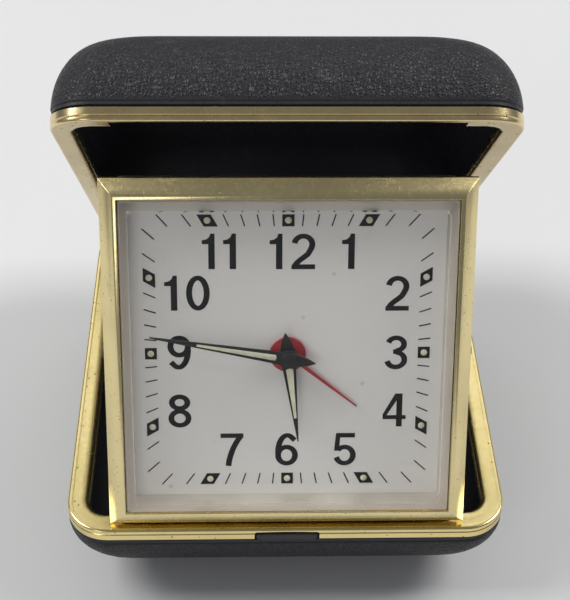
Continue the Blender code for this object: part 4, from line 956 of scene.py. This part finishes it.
def numeral(figure):
    """Plain sans-serif figure, one unit tall, from the base line, centred on x = 0."""
    w, h = UPRIGHT_STROKE, LEVEL_STROKE
    half = 0.325
    bowl = half - w / 2
    if figure == 0:
        path = arc(0.0, 0.5, bowl, 0.5 - h / 2, 0.0, 360.0, 40)[:-1]
        return ribbon(path, True)
    if figure == 1:
        return slab([(0.13, 0.0), (0.13, 1.0), (0.02, 1.0), (-0.02, 0.90), (-0.10, 0.835), (-0.22, 0.815),
                     (-0.22, 0.705), (-0.045, 0.705), (-0.045, 0.0)])
    if figure == 2:
        curve = arc(0.0, 0.70, bowl, 0.30 - h / 2, 172.0, -28.0, 16)
        curve += [(0.13, 0.43), (0.02, 0.34), (-0.10, 0.25), (-0.19, 0.16), (-0.235, 0.06)]
        return fused(ribbon(curve), slab([(-half, 0.0), (half, 0.0), (half, h), (-half + 0.01, h)]))
    if figure == 3:
        upper = arc(-0.01, 0.745, bowl - 0.02, 0.255 - h / 2, 165.0, -90.0, 16)
        lower = arc(-0.01, 0.285, bowl, 0.285 - h / 2, 90.0, -170.0, 18)
        waist = slab([(-0.09, 0.46), (0.0, 0.46), (0.0, 0.46 + h), (-0.09, 0.46 + h)])
        return fused(ribbon(upper), ribbon(lower), waist)
    if figure == 4:
        outline = slab([(0.06, 0.0), (0.06 + w, 0.0), (0.06 + w, 1.0), (0.02, 1.0), (-half, 0.37),
                        (-half, 0.225), (0.06, 0.225)])
        bar = slab([(0.05, 0.225), (half + 0.005, 0.225), (half + 0.005, 0.345), (0.05, 0.345)])
        window = loft([facing([(0.06, 0.345), (0.06, 0.79), (-0.215, 0.345)], y) for y in (-0.5, 1.5)])
        return cut(fused(outline, bar), window)
    if figure == 5:
        bowl_line = arc(-0.01, 0.32, bowl, 0.32 - h / 2, 140.0, -165.0, 20)
        stem = slab([(-0.26, 1.0), (-0.31, 0.46), (-0.17, 0.46), (-0.13, 1.0)])
        bar = slab([(-0.26, 1.0 - h), (0.28, 1.0 - h), (0.28, 1.0), (-0.26, 1.0)])
        return fused(ribbon(bowl_line), stem, bar)
    if figure == 6:
        loop = arc(0.0, 0.32, bowl, 0.32 - h / 2, 0.0, 360.0, 32)[:-1]
        stem = arc(0.02, 0.42, bowl + 0.02, 0.58 - h / 2, 198.0, 62.0, 18)
        stem += [(0.235, 0.78)]
        return fused(ribbon(loop, True), ribbon(stem))
    if figure == 7:
        leg = [(0.235, 0.90), (0.13, 0.74), (0.03, 0.54), (-0.045, 0.32), (-0.09, 0.14), (-0.105, 0.0)]
        bar = slab([(-half, 1.0 - h), (half, 1.0 - h), (half, 1.0), (-half, 1.0)])
        corner = slab([(0.13, 0.88), (half, 0.88), (half, 1.0), (0.13, 1.0)])
        return fused(ribbon(leg), bar, corner)
    if figure == 8:
        upper = arc(0.0, 0.755, bowl - 0.025, 0.245 - h / 2, 0.0, 360.0, 28)[:-1]
        lower = arc(0.0, 0.28, bowl, 0.28 - h / 2, 0.0, 360.0, 32)[:-1]
        return fused(ribbon(lower, True), ribbon(upper, True))
    turned_six = numeral(6)
    for vert in turned_six.verts:
        vert.co = (-vert.co.x, vert.co.y, 1.0 - vert.co.z)
    return turned_six


def numerals():
    pieces = []
    for hour, (x, z) in NUMERAL_PLACES.items():
        figures = [int(character) for character in str(hour)]
        advance = 0.70 if figures[0] == 1 and len(figures) > 1 and figures[1] != 1 else 0.58
        start = -advance * (len(figures) - 1) / 2
        for place, figure in enumerate(figures):
            shape = numeral(figure)
            bmesh.ops.scale(shape, verts=shape.verts, vec=(NUMERAL_HEIGHT, -2 * PRINT_THICK, NUMERAL_HEIGHT))
            pieces.append(moved(shape, x * MM + (start + advance * place) * NUMERAL_HEIGHT,
                                DIAL_DEPTH + PRINT_THICK, z * MM - NUMERAL_HEIGHT / 2))
    finished("hour_numerals", joined(*pieces), INK, sharp=25.0)


# ---------------------------------------------------------------- hands

def blade(length, root, tail, hub, sheet, tip=0.09 * MM, edge=0.07 * MM):
    """Tapered hand with a round hub and a pointed tail, its front edge bevelled."""
    heights = [length * (1 - i / 24) for i in range(21)]
    heights += [hub * math.cos(math.pi * i / 16) for i in range(1, 16)]
    heights += [-hub - (tail - hub) * i / 8 for i in range(9)] if tail else [-hub * 0.999]
    halves = []
    for z in sorted(heights, reverse=True):
        half = math.sqrt(max(hub * hub - z * z, 0.0))
        if z > 0:
            half = max(half, tip + (root / 2 - tip) * (length - z) / (length - hub) if z > hub else root / 2)
        elif tail:
            half = max(half, 0.5 * root * (1 - (-z / tail) ** 2.4))
        halves.append((max(half, 0.02 * MM), z))
    loops = []
    for inset, y in ((0.0, sheet[1]), (0.0, sheet[0] + edge), (edge, sheet[0])):
        row = [(max(half - inset, 0.01 * MM), z) for half, z in halves]
        loops.append(facing(row + [(-half, z) for half, z in row[::-1]], y))
    return loft(loops)


def inlay(start, end, wide, narrow, sheet):
    """Cream wedge set into a hand."""
    outline = [(-wide / 2, start), (-narrow / 2, end), (narrow / 2, end), (wide / 2, start),
               (0.0, start - 0.2 * MM)]
    crown = [(x * 0.6, start + (z - start) * 0.97) for x, z in outline]
    return loft([facing(outline, sheet[1]), facing(outline, sheet[0] + 0.03 * MM), facing(crown, sheet[0])])


def sheet_of(lift):
    back = DIAL_DEPTH - lift
    return back - HAND_SHEET, back


def bored(shape, name, front, back):
    """Hand with the hole that its arbor passes through."""
    radius = ARBOR_BORES[name]
    return cut(shape, turned(((radius, front - MM), (radius, back + MM)), 32))


def cream_hand(name, sizes, angle, wedge, hubbed):
    """Black hand with a cream wedge; wedge is its gap from the hub, end share and two widths."""
    length, root, tail, hub, lift = sizes
    front, back = sheet_of(lift)
    shape = hubbed(blade(length, root, tail, hub, (front, back)), name + "_hand", front, back)
    finished(name + "_hand_blade", moved(shape, turn=angle), HAND_BLACK, name,
             replaces=(name + "_hand",), sharp=30.0)
    gap, share, wide, narrow = wedge
    stripe = inlay(hub + gap, share * length, wide, narrow, (front - 0.05 * MM, front + 0.1 * MM))
    finished(name + "_hand_lume", moved(stripe, turn=angle), LUME, name, sharp=50.0)


def capped(shape, name, front, back):
    """Hand with a domed cap over the end of its arbor."""
    cap = turned(((1.25 * MM, back - 0.05 * MM), (1.25 * MM, front - 0.12 * MM), (1.1 * MM, front - 0.26 * MM),
                  (0.7 * MM, front - 0.36 * MM), (0.3 * MM, front - 0.40 * MM)), 32)
    return joined(shape, cap)


def hands():
    cream_hand("minute", MINUTE, MINUTE_ANGLE, (0.5 * MM, 0.66, 0.95 * MM, 0.35 * MM), capped)
    cream_hand("hour", HOUR, HOUR_ANGLE, (0.6 * MM, 0.72, 1.15 * MM, 0.4 * MM), bored)
    length, root, tail, hub, lift = ALARM
    front, back = sheet_of(lift)
    pointer = blade(length, root, tail, root / 2, (front + 0.04 * MM, back), 0.12 * MM, 0.05 * MM)
    disc = turned(((hub, back), (hub, front + 0.1 * MM), (hub - 0.1 * MM, front), (0.62 * hub, front),
                   (0.58 * hub, front - 0.06 * MM), (0.5 * hub, front - 0.06 * MM)), 56)
    shape = bored(fused(disc, pointer), "alarm_hand", front, back)
    finished("alarm_hand_pointer", moved(shape, turn=ALARM_ANGLE), HAND_RED, "alarm",
             replaces=("alarm_hand",), sharp=30.0)


# ---------------------------------------------------------------- housing and back

def housing():
    radius = 1.3 * MM
    sections = [(0.2 * MM, HOUSING_FRONT), (0.0, HOUSING_FRONT + 0.2 * MM), (0.0, HOUSING_BACK - 2.0 * MM)]
    sections += [(1.0 * MM * (1 - math.cos(turn)), HOUSING_BACK - 2.0 * MM + 2.0 * MM * math.sin(turn))
                 for turn in [QUARTER * k / 6 for k in range(1, 7)]]
    outer = loft([facing(rounded(HOUSING_HALF_X - inset, HOUSING_HALF_Z - inset, radius), y)
                  for inset, y in sections])
    room_x, room_z = HOUSING_HALF_X - HOUSING_WALL, HOUSING_HALF_Z - HOUSING_WALL
    width, length, depth = RECESS
    start = HOUSING_FRONT + HOUSING_WALL
    loops = []
    for inset, z in ((0.55 * MM, -depth), (0.2 * MM, -0.8 * depth), (0.05 * MM, -0.4 * depth), (0.0, MM)):
        loops.append([(u, v + start + length / 2, HOUSING_HALF_Z + z)
                      for u, v in rounded(width / 2 - inset, length / 2 - inset, 1.6 * MM - inset)])
    shape = cut(outer, box((-room_x, room_x), (0.0, HOUSING_BACK + MM), (-room_z, room_z)), loft(loops))
    pivot_z = -BEZEL_HALF_Z - PIVOT_BELOW
    for mirror in (-1, 1):
        low, high = mirror * EAR_X - EAR_WIDTH / 2, mirror * EAR_X + EAR_WIDTH / 2
        outline = arc(PIVOT_BACK, pivot_z, EAR_RADIUS, EAR_RADIUS, 180.0, 360.0, 14)
        outline += [(PIVOT_BACK + EAR_RADIUS, HOUSING_WALL - HOUSING_HALF_Z),
                    (PIVOT_BACK - EAR_RADIUS * 0.7, HOUSING_WALL - HOUSING_HALF_Z)]
        ear = loft([[(x, y, z) for y, z in outline] for x in (low, high)])
        shape = fused(shape, ear)
    circle = arc(PIVOT_BACK, pivot_z, EAR_BORE, EAR_BORE, 0.0, 360.0, 24)[:-1]
    drill = loft([[(x, y, z) for y, z in circle] for x in (-EAR_X - EAR_WIDTH, EAR_X + EAR_WIDTH)])
    finished("clock_housing_shell", cut(shape, drill), HOUSING_BLACK,
             replaces=("clock_housing",), sharp=32.0)


def side_pins():
    for name, node in (("side_rivet_left", "side_pin_left"), ("side_rivet_right", "side_pin_right")):
        low, high = clock_box(node)
        mirror = 1 if high.x > 0 else -1
        start, end = sorted((abs(low.x), abs(high.x)))
        radius = (high.z - low.z) / 2
        dome = [(radius, start), (radius, end - 0.35 * MM), (0.93 * radius, end - 0.2 * MM),
                (0.75 * radius, end - 0.08 * MM), (0.45 * radius, end - 0.01 * MM), (0.15 * radius, end)]
        shape = turned(dome, 36)
        for vert in shape.verts:
            x, y, z = vert.co
            vert.co = (mirror * y, x + PIN_DEPTH, z)
        finished(name, shape, PIN_METAL, replaces=(node,), sharp=40.0)


def hole(radius, x, z, steps=32):
    return turned(((radius, 0.0), (radius, 2 * HOUSING_BACK)), steps, x, z)


def back_cover():
    low, high = clock_box("back_cover")
    half_x, half_z = high.x, high.z
    section = [(0.0, low.y), (0.0, high.y - 0.15 * MM), (0.15 * MM, high.y), (2.2 * MM, high.y),
               (2.5 * MM, high.y - 0.3 * MM)]
    plate = loft(mitred(section, half_x, half_z, [1.0 * MM, 1.0 * MM, 1.0 * MM, 1.6 * MM, 1.6 * MM]))
    spots = {"time": clock_place("time_key_spin"), "alarm": clock_place("alarm_key_spin"),
             "set": (0.0, 0.0), "alarm_set": clock_place("alarm_set_spin")}
    reaches = {"time": 7.2 * MM, "alarm": 7.2 * MM, "set": 3.6 * MM, "alarm_set": 3.1 * MM}
    bosses = [turned(((reach, high.y - 0.8 * MM), (reach, high.y - 0.05 * MM),
                      (reach - 0.2 * MM, high.y + 0.05 * MM)), 48, *spots[key])
              for key, reach in reaches.items()]
    corners = [turned(((2.0 * MM, high.y - 0.8 * MM), (2.0 * MM, high.y)), 32, x, z)
               for x in (-SCREW_REACH, SCREW_REACH) for z in (-SCREW_REACH, SCREW_REACH)]
    regulator = clock_place("regulator_swing")
    slot_low, slot_high = clock_box("alarm_shutoff")
    track = box((slot_low.x - 0.6 * MM, slot_high.x + 4.6 * MM), (high.y - 0.55 * MM, high.y + MM),
                (slot_low.z - 0.5 * MM, slot_high.z + 0.5 * MM))
    shape = cut(fused(plate, *bosses, *corners), track, *[hole(1.1 * MM, *spot) for spot in spots.values()])
    finished("back_cover_plate", shape, COVER_BLACK, replaces=("back_cover",),
             sharp=30.0)
    scale = [box((-0.12 * MM, 0.12 * MM), (high.y - 0.35 * MM, high.y - 0.2 * MM),
                 (5.4 * MM, (6.6 if k % 2 == 0 else 6.1) * MM)) for k in range(-3, 4)]
    marks = [moved(line, regulator[0], 0.0, regulator[1], 8.0 * (k - 3)) for k, line in enumerate(scale)]
    louvres = grown(ROW, COVER_BLACK, Count=7, Spacing=1.7 * MM, Radius=0.45 * MM, Length=7.0 * MM,
                    Middle=(-6.0 * MM, high.y - 0.32 * MM, -20.0 * MM))
    finished("cover_ribs", joined(louvres, *marks), COVER_BLACK, sharp=40.0)
    screws = grown(SCREWS, STEEL, Place=SCREW_REACH, Radius=1.2 * MM, Height=0.55 * MM, Slot=0.32 * MM,
                   Depth=BACK_FACE + 0.275 * MM)
    finished("cover_screws", screws, STEEL, sharp=30.0,
             replaces=("back_screw_1", "back_screw_2", "back_screw_3", "back_screw_4"))


def winding_keys():
    for name, node, joint, turn in (("time_winding_key", "time_key", "time_key_spin", 30.0),
                                    ("alarm_winding_key", "alarm_key", "alarm_key_spin", -35.0)):
        x, z = clock_place(joint)
        low, high = clock_box(node)
        top = high.y
        wing_half, tip = KEY_WING
        middle = (BACK_FACE + KEY_LIFT + top) / 2
        reach = (top - BACK_FACE - KEY_LIFT) / 2
        outline = []
        for side in (1, -1):
            for u, v in arc(wing_half - tip, 0.0, tip, reach, -90.0, 90.0, 10):
                outline.append((side * u, side * v))
            outline.append((side * 1.6 * MM, side * 0.75 * reach))
        wing = loft([[(u, middle + v * (1 - 0.15 * (k in (0, 3))), zed) for u, v in outline]
                     for k, zed in enumerate((-0.6 * MM, -0.4 * MM, 0.4 * MM, 0.6 * MM))])
        boss = turned(((1.6 * MM, BACK_FACE), (1.6 * MM, BACK_FACE + 1.5 * MM),
                       (1.3 * MM, BACK_FACE + 1.8 * MM)), 32)
        stem = turned(((0.8 * MM, low.y), (0.8 * MM, BACK_FACE + MM)), 24)
        shape = moved(softened(fused(boss, wing, stem), 0.12 * MM, 2, 40.0), x, 0.0, z, turn)
        finished(name, shape, WORKS_BRASS, node, replaces=(node,), sharp=35.0)


def knobs():
    top = BACK_FACE + KNOB_HEIGHT
    for node, body, spot, radius, count in (
            ("hand_set_knob", "minute", (0.0, 0.0), 2.8 * MM, 30),
            ("alarm_set_knob", "alarm_set", clock_place("alarm_set_spin"), 2.3 * MM, 26)):
        core = radius - 0.22 * MM
        cap = turned(((core, BACK_FACE), (core, top - 0.3 * MM), (core - 0.25 * MM, top), (0.5 * core, top),
                      (0.45 * core, top - 0.15 * MM)), 48)
        ribs = grown(RIBS, WORKS_BRASS, Count=count, Reach=core, Radius=0.2 * MM, Length=KNOB_HEIGHT - 0.6 * MM,
                     Depth=BACK_FACE + KNOB_HEIGHT / 2)
        parts = [cap, ribs]
        if node == "alarm_set_knob":
            start = SET_ARBOR_FRONT
            parts.append(turned(((0.8 * MM, start), (0.8 * MM, BACK_FACE + 0.1 * MM)), 24))
            parts.append(turned(((1.4 * MM, start), (1.4 * MM, start + 0.35 * MM)), 24))
        shape = moved(joined(*parts), spot[0], 0.0, spot[1])
        finished(node + "_knurled", shape, WORKS_BRASS, body,
                 replaces=(node,), sharp=30.0)


def shutoff_slide():
    low, high = clock_box("alarm_shutoff")
    middle_x, middle_z = (low.x + high.x) / 2, (low.z + high.z) / 2
    half_x, half_z = (high.x - low.x) / 2, (high.z - low.z) / 2
    base = high.y - 0.9 * MM
    section = [(0.0, low.y), (0.0, base), (0.12 * MM, base + 0.12 * MM)]
    block = loft(mitred(section, half_x, half_z, [0.4 * MM] * 3))
    ribs = grown(ROW, BLACK, Count=4, Spacing=0.72 * MM, Radius=0.3 * MM, Length=2 * half_z - 0.4 * MM,
                 Middle=(0.0, base + 0.2 * MM, 0.0))
    shape = moved(joined(block, ribs), middle_x, 0.0, middle_z)
    finished("alarm_shutoff_slide", shape, BLACK, "shutoff", replaces=("alarm_shutoff",))


# ---------------------------------------------------------------- kept nodes

def coat_kept_nodes():
    """Give the model nodes that stay visible their finished materials."""
    coats = {STEEL: ("case_hinge_pin", "hinge_spring", "clock_hinge_rod", "rod_bracket_left",
                     "rod_bracket_right", "lift_spring", "pillar_1", "pillar_2", "pillar_3", "pillar_4",
                     "sounding_post", "pallet_lever", "hairspring", "alarm_hammer", "regulator_lever"),
             SHADED_LID_BRASS: ("lid_hinge_leaf", "lid_catch"),
             RIM_BRASS: ("lower_hinge_leaf",),
             WORKS_BRASS: ("front_plate", "back_plate", "center_wheel", "hour_wheel", "alarm_wheel",
                           "third_wheel", "fourth_wheel", "escape_wheel", "minute_wheel", "going_barrel",
                           "alarm_barrel", "balance_wheel")}
    for material, nodes in coats.items():
        for node in nodes:
            for slot in frame["nodes"][node].material_slots:
                slot.material = material


# ---------------------------------------------------------------- studio

# Camera: place, turns in degrees (yaw, pitch down, roll) and lens
CAMERA_PLACE = (-0.00639, -0.17771, 0.19207)
CAMERA_TURNS = (2.165, 41.748, 1.217)
CAMERA_LENS = 80.3
WHITE, WARM_WHITE = (1.0, 1.0, 1.0), (1.0, 0.985, 0.96)
ROOM_COLOUR, ROOM_STRENGTH = (0.92, 0.94, 1.0, 1.0), 0.19
LIT_SPOT = Vector((0.0, 0.0, 0.03))
# Lamps: place, width, height, power and colour
SOFTBOXES = {"left_softbox": ((-0.55, 0.06, 0.62), 0.34, 0.40, 3.9, WARM_WHITE),
             "right_softbox": ((0.55, 0.12, 0.60), 0.32, 0.36, 3.5, WARM_WHITE),
             "back_softbox": ((0.0, 0.95, 0.80), 1.3, 0.6, 2.6, WHITE),
             "front_softbox": ((-0.45, -0.80, 0.55), 0.3, 0.3, 0.8, WARM_WHITE)}
FLOOR_HALF = 2.5
FLOOR_LEVELS = (-0.01, -0.00002)


def camera():
    """Stands in front of the clock, looking down on it."""
    yaw, pitch, roll = [math.radians(turn) for turn in CAMERA_TURNS]
    ahead = Vector((math.sin(yaw) * math.cos(pitch), math.cos(yaw) * math.cos(pitch), -math.sin(pitch)))
    right = Vector((math.cos(yaw), -math.sin(yaw), 0.0))
    over = right.cross(ahead)
    across = right * math.cos(roll) + over * math.sin(roll)
    upward = over * math.cos(roll) - right * math.sin(roll)
    lens = bpy.data.cameras.new("camera")
    lens.lens, lens.sensor_width = CAMERA_LENS, 36.0
    lens.clip_start, lens.clip_end = 0.01, 20.0
    stand = linked("camera", lens)
    stand.matrix_world = (Matrix.Translation(CAMERA_PLACE)
                          @ Matrix((across, upward, -ahead)).transposed().to_4x4())
    bpy.context.scene.camera = stand


def softbox(name, place, width, height, power, colour):
    light = bpy.data.lights.new(name, "AREA")
    light.shape = "RECTANGLE"
    light.size, light.size_y = width, height
    light.energy, light.color = power, colour
    lamp = linked(name, light)
    lamp.location = place
    lamp.rotation_mode = "QUATERNION"
    lamp.rotation_quaternion = (LIT_SPOT - Vector(place)).to_track_quat("-Z", "Y")


def studio():
    made = Finish("pale_floor", (0.74, 0.745, 0.755), 0.7)
    tree = made.tree
    cloud = made.use(MOTTLE, Scale=14.0)
    made.feed("Base Color", blend_colour(tree, cloud["Broad"], (0.72, 0.725, 0.735), (0.77, 0.775, 0.785)))
    made.feed("Roughness", scaled(tree, cloud["Fine"], 0.15, 0.6))
    span = (-FLOOR_HALF, FLOOR_HALF)
    shape = box(span, span, FLOOR_LEVELS)
    mesh = mesh_of(shape, "floor")
    mesh.materials.append(made.material)
    linked("floor", mesh)
    world = bpy.data.worlds.new("room")
    world.use_nodes = True
    for socket, value in zip(world.node_tree.nodes["Background"].inputs, (ROOM_COLOUR, ROOM_STRENGTH)):
        socket.default_value = value
    bpy.context.scene.world = world
    bpy.context.scene.view_settings.view_transform = "Standard"
    for name, settings in SOFTBOXES.items():
        softbox(name, *settings)


camera()
studio()
lower_case()
lid_case()
latch()
bezel()
crystal()
dial_surround()
dial()
numerals()
hands()
housing()
side_pins()
back_cover()
winding_keys()
knobs()
shutoff_slide()
coat_kept_nodes()
